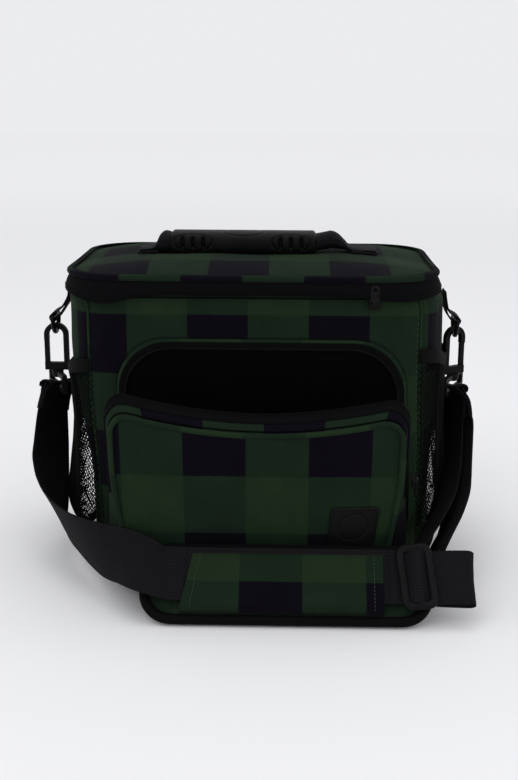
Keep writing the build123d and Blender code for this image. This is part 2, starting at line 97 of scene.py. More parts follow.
def with_z(xy, z):
    """Puts heights beside (..., 2) points. z is an array, or one number for all of them."""
    return np.concatenate([xy, np.broadcast_to(z, xy.shape[:-1])[..., None]], -1)


def ease(t):
    """Smooth step from 0 to 1."""
    t = np.clip(t, 0.0, 1.0)
    return t * t * (3 - 2 * t)


def unit(v):
    """Vectors of length 1, along the last axis."""
    v = np.asarray(v, float)
    return v / np.maximum(np.linalg.norm(v, axis=-1, keepdims=True), 1e-9)


def ripples(points, size, seed, waves=7):
    """Soft creases: a fixed sum of bent sine waves about size across. points is (..., 3)."""
    rng = np.random.default_rng(seed)
    total = np.zeros(points.shape[:-1])
    for _ in range(waves):
        along, across = unit(rng.normal(size=3)), unit(rng.normal(size=3))
        rate = tau / (size * rng.uniform(0.6, 1.7))
        bend = 1.6 * np.sin(points @ across * rate * 0.45 + rng.uniform(0, tau))
        total += np.sin(points @ along * rate + bend + rng.uniform(0, tau))
    return total / waves


def smooth_path(points, count):
    """count evenly spaced points on a Catmull-Rom curve through points. Extra columns come along."""
    p = np.asarray(points, float)
    p = np.vstack([2 * p[0] - p[1], p, 2 * p[-1] - p[-2]])
    out = []
    for i in range(1, len(p) - 2):
        t = np.linspace(0, 1, 24, endpoint=False)[:, None]
        a, b, c, d = p[i - 1], p[i], p[i + 1], p[i + 2]
        bend, turn = 2 * a - 5 * b + 4 * c - d, 3 * b - a - 3 * c + d
        out.append(0.5 * (2 * b + (c - a) * t + bend * t**2 + turn * t**3))
    dense = np.vstack(out + [p[-2][None]])
    return resample(dense, count)


def sheet(low, high, columns, low_row, high_row, rows):
    """Two (rows, columns) arrays: evenly spaced from column to column, and from row to row."""
    return np.meshgrid(np.linspace(low, high, columns), np.linspace(low_row, high_row, rows))


def lengths(path):
    """The distance along a path to each of its points."""
    return np.concatenate([[0], np.cumsum(np.linalg.norm(np.diff(path[:, :3], axis=0), axis=1))])


def resample(path, count):
    """count evenly spaced points along a path. Extra columns come along."""
    run = lengths(path)
    at = np.linspace(0, run[-1], count)
    return np.stack([np.interp(at, run, path[:, k]) for k in range(path.shape[1])], axis=1)


class Outline:
    """A rounded rectangle in plan. s is the distance round it from the front's middle, + to the right."""

    def __init__(self, width, depth, radius):
        self.a, self.b, self.r = width / 2 - radius, depth / 2 - radius, radius
        self.half = 2 * self.a + 2 * self.b + pi * radius

    def round(self, count):
        """count distances, evenly spaced once round."""
        return np.linspace(-self.half, self.half, count, endpoint=False)

    def out(self, s):
        """The level direction away from the outline."""
        return with_z(self.at(s)[1], 0.0)

    def at(self, s):
        """The points at distances s, and the directions away from the outline there."""
        s = (np.asarray(s, float) + self.half) % (2 * self.half) - self.half
        side, t = np.where(s < 0, -1.0, 1.0), np.abs(s)
        a, b, r, q = self.a, self.b, self.r, pi * self.r / 2
        front = np.clip((t - a) / r, 0, pi / 2)
        back = np.clip((t - a - q - 2 * b) / r, 0, pi / 2)
        turn = front + back
        x = np.minimum(t, a) + r * np.sin(front) - r * (1 - np.cos(back))
        x = x - np.clip(t - a - 2 * q - 2 * b, 0, a)
        y = -b - r * np.cos(front) + np.clip(t - a - q, 0, 2 * b) + r * np.sin(back)
        return np.stack([side * x, y], -1), np.stack([side * np.sin(turn), -np.cos(turn)], -1)


def arch_loop(half, low, top, r_top, r_low, count):
    """A closed pocket outline: (count, 2) points from the bottom's middle, anticlockwise, evenly spaced."""
    corners = [(half, low, r_low, -pi / 2), (half, top, r_top, 0),
               (-half, top, r_top, pi / 2), (-half, low, r_low, pi)]
    pts = [(0.0, low)]
    for x, z, r, start in corners:
        cx, cz = x - np.sign(x) * r, z + r if z == low else z - r
        for k in range(13):
            angle = start + pi / 2 * k / 12
            pts.append((cx + r * cos(angle), cz + r * sin(angle)))
    pts.append((0.0, low))
    flat = with_z(np.array(pts), 0.0)
    return resample(flat, count + 1)[:-1, :2]


def opened(points):
    """Turns points of the pocket from zipped shut to the open rest pose."""
    p = np.array(points, float)
    y, z = p[..., 1] - POCKET_PIVOT[0], p[..., 2] - POCKET_PIVOT[1]
    c, s = cos(POCKET_OPEN), sin(POCKET_OPEN)
    p[..., 1] = POCKET_PIVOT[0] + y * c - z * s
    p[..., 2] = POCKET_PIVOT[1] + y * s + z * c
    return p


# ------------------------------------------------------------------ mesh tools
def finish_piece(name, verts, faces, uvs, material, body, nodes=(), slot=None):
    """Makes one mesh object. verts are millimetres, and uvs one list of (u, v) millimetres for each face.
    slot, the finish slot where it isn't the material's own, is not used."""
    mesh = bpy.data.meshes.new(name)
    mesh.from_pydata((np.asarray(verts) * MM).tolist(), [], faces)
    if uvs is not None:
        layer = mesh.uv_layers.new(name="cloth")
        flat = np.array([c for face in uvs for c in face], float) * MM
        layer.data.foreach_set("uv", flat.ravel())
    bm = bmesh.new()
    bm.from_mesh(mesh)
    bmesh.ops.recalc_face_normals(bm, faces=bm.faces)
    bm.to_mesh(mesh)
    bm.free()
    mesh.polygons.foreach_set("use_smooth", [True] * len(mesh.polygons))
    obj = bpy.data.objects.new(name, mesh)
    bpy.context.scene.collection.objects.link(obj)
    mesh.materials.append(material)
    if body:
        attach(obj, body)
    slot = slot or SLOT_OF[material]
    if nodes:
        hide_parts(*nodes)
    return obj


def grid_normals(grid, wrap):
    """Unit normals of a (rows, columns, 3) grid."""
    if wrap:
        du = np.roll(grid, -1, 1) - np.roll(grid, 1, 1)
    else:
        du = np.gradient(grid, axis=1)
    dv = np.gradient(grid, axis=0)
    return unit(np.cross(du, dv))


def cells(rows, cols, wrap=False):
    """The quads of a sheet of vertices: each is the (row, column) of its four corners."""
    return [((i, j), (i, j + 1), (i + 1, j + 1), (i + 1, j))
            for i in range(rows - 1) for j in range(cols if wrap else cols - 1)]


def slab(name, grid, thick, uv, material, body, nodes=(), slot=None, wrap=False):
    """A closed sheet of the given thickness under a (rows, columns, 3) grid of outer points."""
    rows, cols = grid.shape[:2]
    inner = grid - grid_normals(grid, wrap) * thick
    verts = np.vstack([grid.reshape(-1, 3), inner.reshape(-1, 3)])
    half = rows * cols
    faces, uvs = [], []
    uvg = uv if uv.shape[1] > cols or not wrap else np.concatenate([uv, uv[:, :1]], 1)
    for cell in cells(rows, cols, wrap):
        quad, corner = [i * cols + j % cols for i, j in cell], [uvg[at] for at in cell]
        faces += [quad, [q + half for q in reversed(quad)]]
        uvs += [corner, corner[::-1]]
    edges = [((i, j), (i, j + 1)) for i in (0, rows - 1) for j in range(cols if wrap else cols - 1)]
    if not wrap:
        edges += [((i, j), (i + 1, j)) for j in (0, cols - 1) for i in range(rows - 1)]
    for a, b in edges:
        one, two = a[0] * cols + a[1] % cols, b[0] * cols + b[1] % cols
        faces.append([one, two, half + two, half + one])
        uvs.append([uvg[a], uvg[b], uvg[b], uvg[a]])
    return finish_piece(name, verts, faces, uvs, material, body, nodes, slot)


def disc(name, rim, height, thick, rings, material, body, nodes=(), slot=None, uv_at=plan_uv, lift=UP):
    """A closed sheet inside a rim. height(rho, points) gives the outer points of the ring at rho."""
    steps = np.linspace(1.0, 1.0 / rings, rings)
    outer = np.array([height(rho, rim) for rho in steps])
    middle = height(0.0, rim[:1])[0]
    verts = list(outer.reshape(-1, 3)) + [middle]
    count = rim.shape[0]
    normal = grid_normals(outer, True)
    if normal[-1, :, :].mean(0) @ lift < 0:
        normal = -normal
    inner = outer - normal * thick
    verts += list(inner.reshape(-1, 3)) + [middle - np.asarray(lift) * thick]
    half = rings * count + 1
    quads = [[i * count + j % count for i, j in cell] for cell in cells(rings, count, True)]
    faces = quads + [[q + half for q in reversed(quad)] for quad in quads]
    last = (rings - 1) * count
    for j in range(count):
        k = (j + 1) % count
        faces += [[last + j, last + k, half - 1], [half + last + k, half + last + j, 2 * half - 1],
                  [j, k, half + k, half + j]]
    uvs = [[uv_at(verts[k]) for k in face] for face in faces]
    return finish_piece(name, verts, faces, uvs, material, body, nodes, slot)


def sweep(name, path, axes, profile, material, body, nodes=(), slot=None, closed=False, uv_start=0.0,
          uv_row=0.0):
    """A profile of (across, out) points carried along a path. axes are the side and up vectors on it."""
    side, up = axes
    count, ring = len(path), len(profile)
    profile = np.asarray(profile, float)
    verts = (path[:, None, :] + side[:, None, :] * profile[None, :, 0:1]
             + up[:, None, :] * profile[None, :, 1:2]).reshape(-1, 3)
    loop = np.vstack([path, path[:1]]) if closed else path
    run = lengths(loop) + uv_start
    around = lengths(with_z(np.vstack([profile, profile[:1]]), 0.0)) + uv_row
    mesh = cells(count + 1 if closed else count, ring, True)
    faces = [[i % count * ring + j % ring for i, j in cell] for cell in mesh]
    uvs = [[(run[i], around[j]) for i, j in cell] for cell in mesh]
    if not closed:
        for i in (0, count - 1):
            faces.append([i * ring + j for j in range(ring)])
            uvs.append([(run[i], around[j]) for j in range(ring)])
    return finish_piece(name, verts, faces, uvs, material, body, nodes, slot)


def frames(path, up_hint, closed=False):
    """Side and up vectors along a path, with up kept near the hint (one vector, or one for each point)."""
    if closed:
        tangent = unit(np.roll(path, -1, 0) - np.roll(path, 1, 0))
    else:
        tangent = unit(np.gradient(path, axis=0))
    hint = np.broadcast_to(np.asarray(up_hint, float), path.shape)
    side = unit(np.cross(tangent, hint))
    return side, unit(np.cross(side, tangent))


def round_profile(radius, count=10, squash=1.0):
    angle = np.arange(count) * tau / count
    return np.stack([radius * np.cos(angle), radius * squash * np.sin(angle)], 1)


def tape_profile(width, thick, across=8):
    """A flat strip's section with rounded edges, starting on its outer face."""
    half, t = width / 2, thick / 2
    flat = np.linspace(-half + t, half - t, across)
    outer = [(a, t) for a in flat]
    tip = [(half - t * 0.3, t * 0.72), (half, 0.0), (half - t * 0.3, -t * 0.72)]
    inner = [(a, -t) for a in flat[::-1]]
    heel = [(-half + t * 0.3, -t * 0.72), (-half, 0.0), (-half + t * 0.3, t * 0.72)]
    return np.array(outer + tip + inner + heel)


def webbing(name, stations, count, body, nodes=(), width=WEB_W, thick=WEB_T, wave=0.0):
    """A strap through stations of (middle, direction across). Its outer face looks along x across."""
    rows = smooth_path([list(m) + list(a) for m, a in stations], count)
    path, across = rows[:, :3], unit(rows[:, 3:])
    tangent = unit(np.gradient(path, axis=0))
    across = unit(across - tangent * np.sum(across * tangent, 1, keepdims=True))
    out = unit(np.cross(tangent, across))
    if wave:
        path = path + out * (ripples(path, 60.0, 5) * wave)[:, None]
    sweep(name, path, (across, out), tape_profile(width, thick), WEBBING, body, nodes)
    return path, across, out


BAR_LEVELS = ((-0.5, 1.0), (0.15, 1.0), (0.5, 0.75))       # share of the height, and of the width there
BAR_CORNERS = ((-1, -0.6), (-0.6, -1), (0.6, -1), (1, -0.6), (1, 0.6), (0.6, 1), (-0.6, 1), (-1, 0.6))


def blocks(name, centres, along, out, size, material, body, nodes=(), slot=None, lift=0.0):
    """Many small rounded bars, as teeth or stitches, one at each centre. size is (along, across, out)."""
    verts, faces = [], []
    along, out = np.broadcast_to(along, centres.shape), np.broadcast_to(out, centres.shape)
    across = np.cross(along, out)
    length, width, height = size
    for c, t, a, n in zip(centres, along, across, out):
        base = len(verts)
        for h, k in BAR_LEVELS:
            for u, v in BAR_CORNERS:
                verts.append(c + t * (u * k * length / 2) + a * (v * k * width / 2) + n * (lift + h * height))
        for level in (0, 8):
            for j in range(8):
                k = (j + 1) % 8
                faces.append([base + level + j, base + level + k, base + level + 8 + k, base + level + 8 + j])
        faces.append([base + j for j in range(8)])
        faces.append([base + 16 + j for j in range(8)])
    return finish_piece(name, verts, faces, None, material, body, nodes, slot)


def stitch_row(name, path, out, body, slot, pitch=3.4, length=2.4, width=0.6, lift=0.15, thread=None):
    """A row of stitches along a path. out is the way they face, one vector or one for each point."""
    count = max(2, int(lengths(path)[-1] / pitch))
    both = resample(np.hstack([path, np.broadcast_to(out, path.shape)]), count)
    along = unit(np.gradient(both[:, :3], axis=0))
    blocks(name, both[:, :3], along, unit(both[:, 3:]), (length, width, 0.5), thread or THREAD_DARK, body,
           slot=slot, lift=lift)


# ------------------------------------------------------------------ materials
class Look:
    """A Principled material with short helpers for its procedural nodes."""

    def __init__(self, name, color, rough, **sockets):
        self.mat = bpy.data.materials.new(name)
        self.mat.use_nodes = True
        self.tree = self.mat.node_tree
        self.shader = self.tree.nodes["Principled BSDF"]
        self.shader.inputs["Base Color"].default_value = (*color, 1)
        self.shader.inputs["Roughness"].default_value = rough
        for key, value in sockets.items():
            self.shader.inputs[key.replace("_", " ")].default_value = value

    def feed(self, socket, value):
        """Links a socket to an output, or gives it a plain value."""
        if hasattr(value, "is_output"):
            self.tree.links.new(value, socket)
        elif value is not None:
            socket.default_value = value

    def node(self, kind, inputs=(), **settings):
        n = self.tree.nodes.new(kind)
        for key, value in settings.items():
            setattr(n, key, value)
        for key, value in dict(inputs).items():
            self.feed(n.inputs[key], value)
        return n

    def math(self, operation, a, b=None):
        return self.node("ShaderNodeMath", {0: a, 1: b}, operation=operation).outputs[0]

    def uv(self):
        pin = self.node("ShaderNodeUVMap", uv_map="cloth")
        split = self.node("ShaderNodeSeparateXYZ", {0: pin.outputs[0]})
        return pin.outputs[0], split.outputs[0], split.outputs[1]

    def place(self):
        return self.node("ShaderNodeTexCoord").outputs["Object"]

    def noise(self, vector, scale, detail=3.0, rough=0.6):
        return self.node("ShaderNodeTexNoise", {"Scale": scale, "Detail": detail, "Roughness": rough,
                                                "Vector": vector}).outputs["Fac"]

    def cells(self, kind, vector, scale):
        return self.node("ShaderNodeTexVoronoi", {"Scale": scale, "Vector": vector},
                         feature=kind).outputs["Distance"]

    def wave(self, value, length):
        """A 0 to 1 sine of a length in metres."""
        sine = self.math("SINE", self.math("MULTIPLY", value, tau / length))
        return self.math("ADD", self.math("MULTIPLY", sine, 0.5), 0.5)

    def mix(self, factor, a, b, blend="MIX"):
        sides = [value if hasattr(value, "is_output") else (*value, 1) for value in (a, b)]
        return self.node("ShaderNodeMix", {0: factor, 6: sides[0], 7: sides[1]}, data_type="RGBA",
                         blend_type=blend).outputs[2]

    def remap(self, value, low, high, new_low, new_high):
        return self.node("ShaderNodeMapRange", {"Value": value, "From Min": low, "From Max": high,
                                                "To Min": new_low, "To Max": new_high}).outputs[0]

    def color(self, value):
        self.feed(self.shader.inputs["Base Color"], value)

    def rough(self, value):
        self.feed(self.shader.inputs["Roughness"], value)

    def bump(self, height, depth, strength=1.0):
        bump = self.node("ShaderNodeBump", {"Distance": depth, "Strength": strength, "Height": height})
        self.feed(self.shader.inputs["Normal"], bump.outputs[0])


LIGHT_GREEN = (0.0125, 0.0250, 0.0115)
DARK_GREEN = (0.0088, 0.0180, 0.0100)
CHECK_BLACK = (0.0034, 0.0027, 0.0055)


def plaid_look():
    """Brushed cloth printed in a three-tone check, with a fine ribbed weave."""
    k = Look("plaid_cloth", LIGHT_GREEN, 0.86, Sheen_Weight=0.012, Sheen_Roughness=0.5,
             Specular_IOR_Level=0.03)
    pin, u, v = k.uv()
    wobble = k.math("MULTIPLY", k.math("SUBTRACT", k.noise(pin, 700.0, 1.0), 0.5), 0.0012)
    dark = []
    for value in (u, v):
        place = k.math("FLOORED_MODULO", k.math("ADD", value, wobble), 2 * CHECK * MM)
        dark.append(k.math("GREATER_THAN", place, CHECK * MM))
    once = k.mix(k.math("MAXIMUM", *dark), LIGHT_GREEN, DARK_GREEN)
    cloth = k.mix(k.math("MINIMUM", *dark), once, CHECK_BLACK)
    rib, pick = k.wave(u, 0.00115), k.wave(v, 0.00085)
    weave = k.math("MULTIPLY", rib, pick)
    fuzz = k.noise(pin, 1500.0, 2.0)
    tone = k.math("ADD", k.math("MULTIPLY", weave, 0.28), k.math("MULTIPLY", fuzz, 0.5))
    shade = k.math("ADD", tone, k.math("MULTIPLY", k.noise(pin, 28.0, 3.0), 0.35))
    pale = k.mix(1.0, cloth, (1.45, 1.45, 1.45), "MULTIPLY")
    deep = k.mix(1.0, cloth, (0.58, 0.58, 0.58), "MULTIPLY")
    k.color(k.mix(k.remap(shade, 0.25, 0.85, 0.0, 1.0), deep, pale))
    k.bump(k.math("ADD", weave, fuzz), 0.00022, 0.7)
    return k.mat


def woven_look(name, color, rough, along, across, depth, sheen=0.0):
    """Plain dark cloth or tape with ribs along v and picks along u, in metres."""
    k = Look(name, color, rough, Sheen_Weight=sheen, Specular_IOR_Level=0.03)
    pin, u, v = k.uv()
    weave = k.math("MULTIPLY", k.wave(u, along), k.wave(v, across))
    fuzz = k.noise(pin, 900.0, 2.0)
    tone = k.math("ADD", k.math("MULTIPLY", weave, 0.5), k.math("MULTIPLY", fuzz, 0.6))
    k.color(k.mix(k.remap(tone, 0.2, 0.9, 0.0, 1.0), [c * 0.55 for c in color], [c * 1.5 for c in color]))
    k.rough(k.remap(fuzz, 0.3, 0.7, rough - 0.06, rough + 0.06))
    k.bump(k.math("ADD", weave, k.math("MULTIPLY", fuzz, 0.5)), depth, 0.9)
    return k.mat


def moulded_look(name, color, rough, grain=900.0, depth=0.00006, metal=0.0):
    """Moulded plastic, rubber or coated metal, with a fine grain and slightly uneven gloss."""
    k = Look(name, color, rough, Metallic=metal, Specular_IOR_Level=0.05)
    at = k.place()
    fine, broad = k.noise(at, grain, 3.0), k.noise(at, 60.0, 3.0)
    k.color(k.mix(k.remap(broad, 0.3, 0.7, 0.0, 1.0), [c * 0.8 for c in color], [c * 1.3 for c in color]))
    k.rough(k.remap(k.math("ADD", fine, broad), 0.6, 1.4, rough - 0.07, rough + 0.09))
    k.bump(fine, depth, 0.8)
    return k.mat


def leather_look():
    """Black leather with a fine pebbled grain."""
    k = Look("patch_leather", (0.003, 0.0028, 0.0033), 0.55, Specular_IOR_Level=0.12)
    at = k.place()
    grain = k.remap(k.cells("DISTANCE_TO_EDGE", at, 900.0), 0.0, 0.25, 0.0, 1.0)
    k.color(k.mix(grain, (0.0010, 0.0010, 0.0014), (0.0024, 0.0023, 0.0028)))
    k.rough(k.remap(k.noise(at, 250.0), 0.3, 0.7, 0.42, 0.62))
    k.bump(grain, 0.00012, 0.8)
    return k.mat


def foil_look():
    """Pale heat-sealed liner sheet with soft crinkles."""
    k = Look("liner_sheet", (0.50, 0.51, 0.52), 0.32, Specular_IOR_Level=0.5, Coat_Weight=0.3)
    crease = k.noise(k.place(), 45.0, 5.0, 0.65)
    k.color(k.mix(k.remap(crease, 0.35, 0.65, 0.0, 1.0), (0.42, 0.43, 0.44), (0.58, 0.59, 0.60)))
    k.bump(crease, 0.0012, 0.8)
    return k.mat


def foam_look():
    """Pale closed-cell foam."""
    k = Look("cell_foam", (0.72, 0.72, 0.69), 0.9)
    bubbles = k.cells("F1", k.place(), 1300.0)
    k.color(k.mix(bubbles, (0.76, 0.76, 0.73), (0.60, 0.60, 0.57)))
    k.bump(bubbles, 0.0003, 0.6)
    return k.mat


PLAID = plaid_look()
LINING = woven_look("black_lining", (0.0009, 0.0008, 0.0011), 0.72, 0.0011, 0.0011, 0.0001)
BAND = woven_look("black_band", (0.0034, 0.0033, 0.0040), 0.78, 0.0009, 0.0009, 0.00012)
WEBBING = woven_look("black_webbing", (0.0088, 0.0078, 0.0093), 0.66, 0.0016, 0.0028, 0.0003, 0.006)
BINDING = woven_look("black_binding", (0.0040, 0.0039, 0.0045), 0.74, 0.0012, 0.0010, 0.00015)
TAPE = woven_look("zip_tape", (0.0030, 0.0030, 0.0034), 0.75, 0.0008, 0.0010, 0.0001)
ELASTIC = woven_look("elastic", (0.0050, 0.0048, 0.0055), 0.7, 0.0012, 0.0022, 0.0003)
NET = woven_look("mesh_strand", (0.0030, 0.0030, 0.0034), 0.6, 0.0008, 0.0008, 0.00005)
RUBBER = moulded_look("grip_rubber", (0.0036, 0.0036, 0.0042), 0.50, 700.0, 0.00008)
PLASTIC = moulded_look("hook_plastic", (0.0055, 0.0052, 0.0060), 0.42, 1100.0, 0.00005)
WIRE = moulded_look("coated_wire", (0.0055, 0.0053, 0.0060), 0.36, 1500.0, 0.00003, metal=0.2)
ZIP_METAL = moulded_look("coated_zinc", (0.0080, 0.0078, 0.0085), 0.34, 1500.0, 0.00003, metal=0.3)
COIL = moulded_look("zip_coil", (0.0040, 0.0040, 0.0045), 0.45, 1500.0, 0.00002)
LEATHER = leather_look()
FOIL = foil_look()
FOAM = foam_look()
SLOT_OF = {                      # the finish slot that each material stands for
    PLAID: "plaid_fabric", LINING: "black_fabric", BAND: "black_fabric", WEBBING: "black_webbing",
    BINDING: "black_binding", TAPE: "zip_tape", ELASTIC: "elastic", NET: "mesh", RUBBER: "grip_rubber",
    PLASTIC: "hook_plastic", COIL: "zip_coil", LEATHER: "patch_leather", FOIL: "liner", FOAM: "insulation",
}
THREAD_PALE = woven_look("pale_thread", (0.040, 0.060, 0.038), 0.8, 0.0005, 0.0005, 0.00005)
THREAD_DARK = woven_look("dark_thread", (0.0062, 0.0060, 0.0070), 0.7, 0.0005, 0.0005, 0.00005)


# ------------------------------------------------------------------ the body's walls
BODY = Outline(BODY_W, BODY_D, BODY_R)
SIDE_TOP = 247.0
FRONT_COLUMN, FRONT_ROW = 104.6, -30.0


def body_grow(s, z):
    """How far the soft wall stands out from a plain box: fuller up the sides, pinched at the seams."""
    xy, normal = BODY.at(s)
    side = np.abs(normal[..., 0]) ** 2
    near_lid = ease((SIDE_TOP - z) / 12.0)
    barrel = 10.0 * np.clip(xy[..., 1] / 58.0, -1, 1) ** 2
    swell = side * (-2.0 + 12.0 * ease((z - 60.0) / 140.0) - barrel) * near_lid
    front = (1 - side) * 0.9 * np.sin(pi * np.clip(z / WALL_TOP, 0, 1))
    half_seam = np.minimum(np.abs(np.abs(s) - SEAM_S), np.abs(np.abs(s) - (BODY.half - SEAM_S)))
    pinch = 1.3 * np.exp(-(half_seam / 3.2) ** 2)
    foot = 3.0 * ease((5.0 - z) / 5.0)
    return swell + front - pinch - foot


def body_point(s, z, out=0.0):
    """A point on the wall, or out from it. s and z are numbers, or arrays that fit each other."""
    s, z = np.broadcast_arrays(np.asarray(s, float), np.asarray(z, float))
    xy, normal = BODY.at(s)
    place = with_z(xy, z)
    soft = ripples(place, 85.0, 11) * 0.9 + ripples(place, 38.0, 12) * 0.35
    calm = ease((WALL_TOP - z) / 20.0) * ease(z / 14.0)
    grow = body_grow(s, z) + soft * calm + out
    spot = with_z(xy + normal * grow[..., None], z)
    spot[..., 0] += (2.0 + 4.5 * ease((190.0 - z) / 130.0)) * ease((SIDE_TOP - z) / 12.0)
    return spot


def body_panel(name, s_low, s_high, columns):
    s, z = sheet(s_low, s_high, columns, 1.0, WALL_TOP + 1.8, 96)
    grid = body_point(s, z)
    drift = grid[..., 0] - BODY.at(s)[0][..., 0]
    uv = np.stack([s + drift * (np.abs(s) < SEAM_S) + FRONT_COLUMN, z + FRONT_ROW], -1)
    return slab(f"{name}_cloth", grid, 1.5, uv, PLAID, "bag", [name])


def body_seams():
    """The raised seam at each corner, with a line of pale stitches on its front side."""
    z = np.linspace(3.0, WALL_TOP - 1, 120)
    for side, sign in (("left", -1), ("right", 1)):
        for place, s in (("front", SEAM_S), ("back", BODY.half - SEAM_S)):
            path = body_point(sign * s, z, 0.6)
            axes = frames(path, np.append(BODY.at(sign * s)[1], 0))
            sweep(f"{side}_{place}_seam", path, axes, round_profile(1.2, 8, 0.8), PLAID, "bag")
        near = body_point(sign * (SEAM_S - 3.2), z, 0.15)
        out = np.append(BODY.at(sign * (SEAM_S - 3.2))[1], 0)
        stitch_row(f"{side}_seam_stitches", near, out, "bag", "plaid_fabric", 5.0, 2.6,
                   thread=THREAD_PALE if sign > 0 else THREAD_DARK)


def base():
    """The flat cloth under the bag."""
    rim = body_point(BODY.round(240), 1.5, -0.8)

    def height(rho, points):
        flat = np.array(points, float)
        flat[:, :2] *= rho * 0.985 if rho < 1 else 1.0
        flat[:, 2] = 0.0 if rho < 1 else 1.2
        return flat

    disc("base_cloth", rim, height, -1.6, 20, LINING, "bag", ["base_panel"], lift=-UP)


def base_foam():
    """The foam board that lies on the base, inside the walls."""
    rim = body_point(BODY.round(240), 10.0, -3.4)
    disc("base_foam_board", rim, lambda rho, p: p * [rho, rho, 1.0], 7.6, 6, FOAM, "bag", ["base_foam"])


TOOTH, TOOTH_PITCH = (1.05, 2.4, 1.7), 1.7


def tooth_row(name, z, point, body, node):
    """One row of zip teeth round the box. point(s, z) is the place of a tooth."""
    s = np.arange(-ZIP_HALF, ZIP_HALF, TOOTH_PITCH)
    centres = point(s, np.full_like(s, z))
    blocks(name, centres, unit(np.gradient(centres, axis=0)), BODY.out(s), TOOTH, COIL, body, [node])


ZIP_HALF = 309.0                              # the lid's zip runs this far each way from the front's middle
BODY_TAPE_Z, BODY_TEETH_Z = (240.0, 250.2), 250.7
LID_TAPE_Z, LID_TEETH_Z = (253.0, 261.0), 252.6


def body_zip():
    """The body's half of the zip, and the binding round the mouth."""
    s, z = sheet(-ZIP_HALF, ZIP_HALF, 300, *BODY_TAPE_Z, 6)
    slab("body_zip_tape_cloth", body_point(s, z, -1.6), 0.7, np.stack([s, z], -1), TAPE, "bag",
         ["body_zip_tape"])
    tooth_row("body_zip_teeth", BODY_TEETH_Z, lambda s, z: body_point(s, z, -0.6), "bag", "body_zip_coil")
    path = body_point(BODY.round(320), WALL_TOP - 0.6, -4.8)
    sweep("rim_binding_cloth", path, frames(path, UP, True), tape_profile(10.5, 2.2), BINDING, "bag",
          ["rim_binding"], closed=True)


# ------------------------------------------------------------------ the lid
RIM = Outline(314.0, 204.0, 46.0)
LID_COLUMN, LID_ROW = 189.1, 161.6
LID_RISE = 11.5
PIPING_COLUMN, DARK_ROW = 109.3, 56.0        # the cord is cut from a dark row of the check
GRIP_DENT = 3.5                              # how far the soft lid gives under the carry handle


def rim_low(s):
    """Height of the band's lower edge: deeper at the front corners."""
    xy, _ = RIM.at(s)
    corner = np.exp(-((np.abs(xy[..., 0]) - 128.0) / 34.0) ** 2) * ease((-xy[..., 1] - 40) / 40)
    return 251.6 - 5.0 * corner


def rim_z(s):
    xy, _ = RIM.at(s)
    return PIPING_Z - 0.8 + 1.2 * (xy[..., 0] / 157.0) ** 2 * ease((-xy[..., 1]) / 60) * 0.6


def grip_dent(x, y):
    return GRIP_DENT * np.exp(-((x + 10.0) / 78.0) ** 4 - (y / 34.0) ** 2)


def lid_dome(rho, x):
    """How far the lid's cloth rises over its rim: rho is 0 at the middle and 1 at the rim."""
    return LID_RISE * (1 - rho ** 3.4) * (1 - 0.12 * (np.abs(x) / 150.0) ** 2)


def lid_surface(rho, points):
    p = np.array(points, float)
    z_rim = p[:, 2].copy()
    p[:, :2] *= rho
    p[:, 2] = z_rim + lid_dome(rho, p[:, 0]) - grip_dent(p[:, 0], p[:, 1])
    soft = ripples(p, 70.0, 21) * 0.7 + ripples(p, 30.0, 22) * 0.25
    p[:, 2] += soft * ease((1 - rho) / 0.15)
    return p


def lid():
    """The lid's crowned cloth with the cord round its rim and a painted shadow line inside it, then its band
    and back.
    """
    s = RIM.round(300)
    xy, normal = RIM.at(s)
    rim = with_z(xy - normal * 1.2, rim_z(s) - 0.4)
    disc("lid_cloth", rim, lid_surface, 1.5, 46, PLAID, "lid", ["lid_top_panel"],
         uv_at=lambda p: (p[0] + LID_COLUMN, p[1] + LID_ROW))
    path = with_z(xy, rim_z(s))
    axes = frames(path, UP, True)
    sweep("lid_cord", path, axes, round_profile(2.9, 12), PLAID, "lid", ["lid_piping"], closed=True,
          uv_start=-RIM.half + PIPING_COLUMN, uv_row=DARK_ROW)
    # A thin cord in black lining colour in the groove where the cord meets the lid's cloth, though the cloth
    # there is checked: painted seam shadow.
    shadow_line_path = with_z(xy - normal * 2.6, rim_z(s) + 2.1)
    sweep("lid_cord_shadow_line", shadow_line_path, axes, round_profile(0.7, 6), LINING, "lid", closed=True,
          slot="plaid_fabric")
    lid_band()
    lid_back()


def band_grid(s, level):
    """Points of the zip band: level 0 is at the piping and 1 at its lower edge."""
    xy, normal = RIM.at(s)
    low, high = rim_low(s), rim_z(s) - 2.0
    z = high + (low - high) * level
    side = np.abs(normal[..., 0]) ** 2
    out = 0.4 + 2.0 * np.sin(level * 2.2) + side * 2.6 * level
    place = with_z(xy, z)
    out = out + ripples(place, 55.0, 31) * 0.6 * level
    z = z - 3.0 * level * np.exp(-((s + 124.0) / 24.0) ** 2)
    return with_z(xy + normal * out[..., None], z)


BAND_HALF = 306.0


def lid_band():
    """The black band over the lid's zip, with its stitches and turned edge, and the lid's half of the zip."""
    s, level = sheet(-BAND_HALF, BAND_HALF, 320, 1.0, 0.0, 12)
    grid = band_grid(s, level)
    uv = np.stack([s, level * 14.0], -1)
    slab("lid_band_cloth", grid, 1.3, uv, BAND, "lid", ["lid_band"])
    line = np.linspace(-BAND_HALF, BAND_HALF, 400)
    fold = band_grid(line, np.full_like(line, 0.78))
    normal = RIM.out(line)
    stitch_row("lid_band_stitches", fold + normal * 0.2, normal, "lid", "black_fabric")
    edge = band_grid(line, np.ones_like(line))
    sweep("lid_band_fold", edge - normal * 0.6, frames(edge, UP), round_profile(1.0, 8), BAND, "lid")
    tooth_row("lid_zip_teeth", LID_TEETH_Z, lambda s, z: top_point(s, z, -0.6), "lid", "lid_zip_coil")
    s, z = sheet(-ZIP_HALF, ZIP_HALF, 300, *LID_TAPE_Z, 5)
    slab("lid_zip_tape_cloth", top_point(s, z, -0.6), 0.7, np.stack([s, z], -1), TAPE, "lid",
         ["lid_zip_tape"])


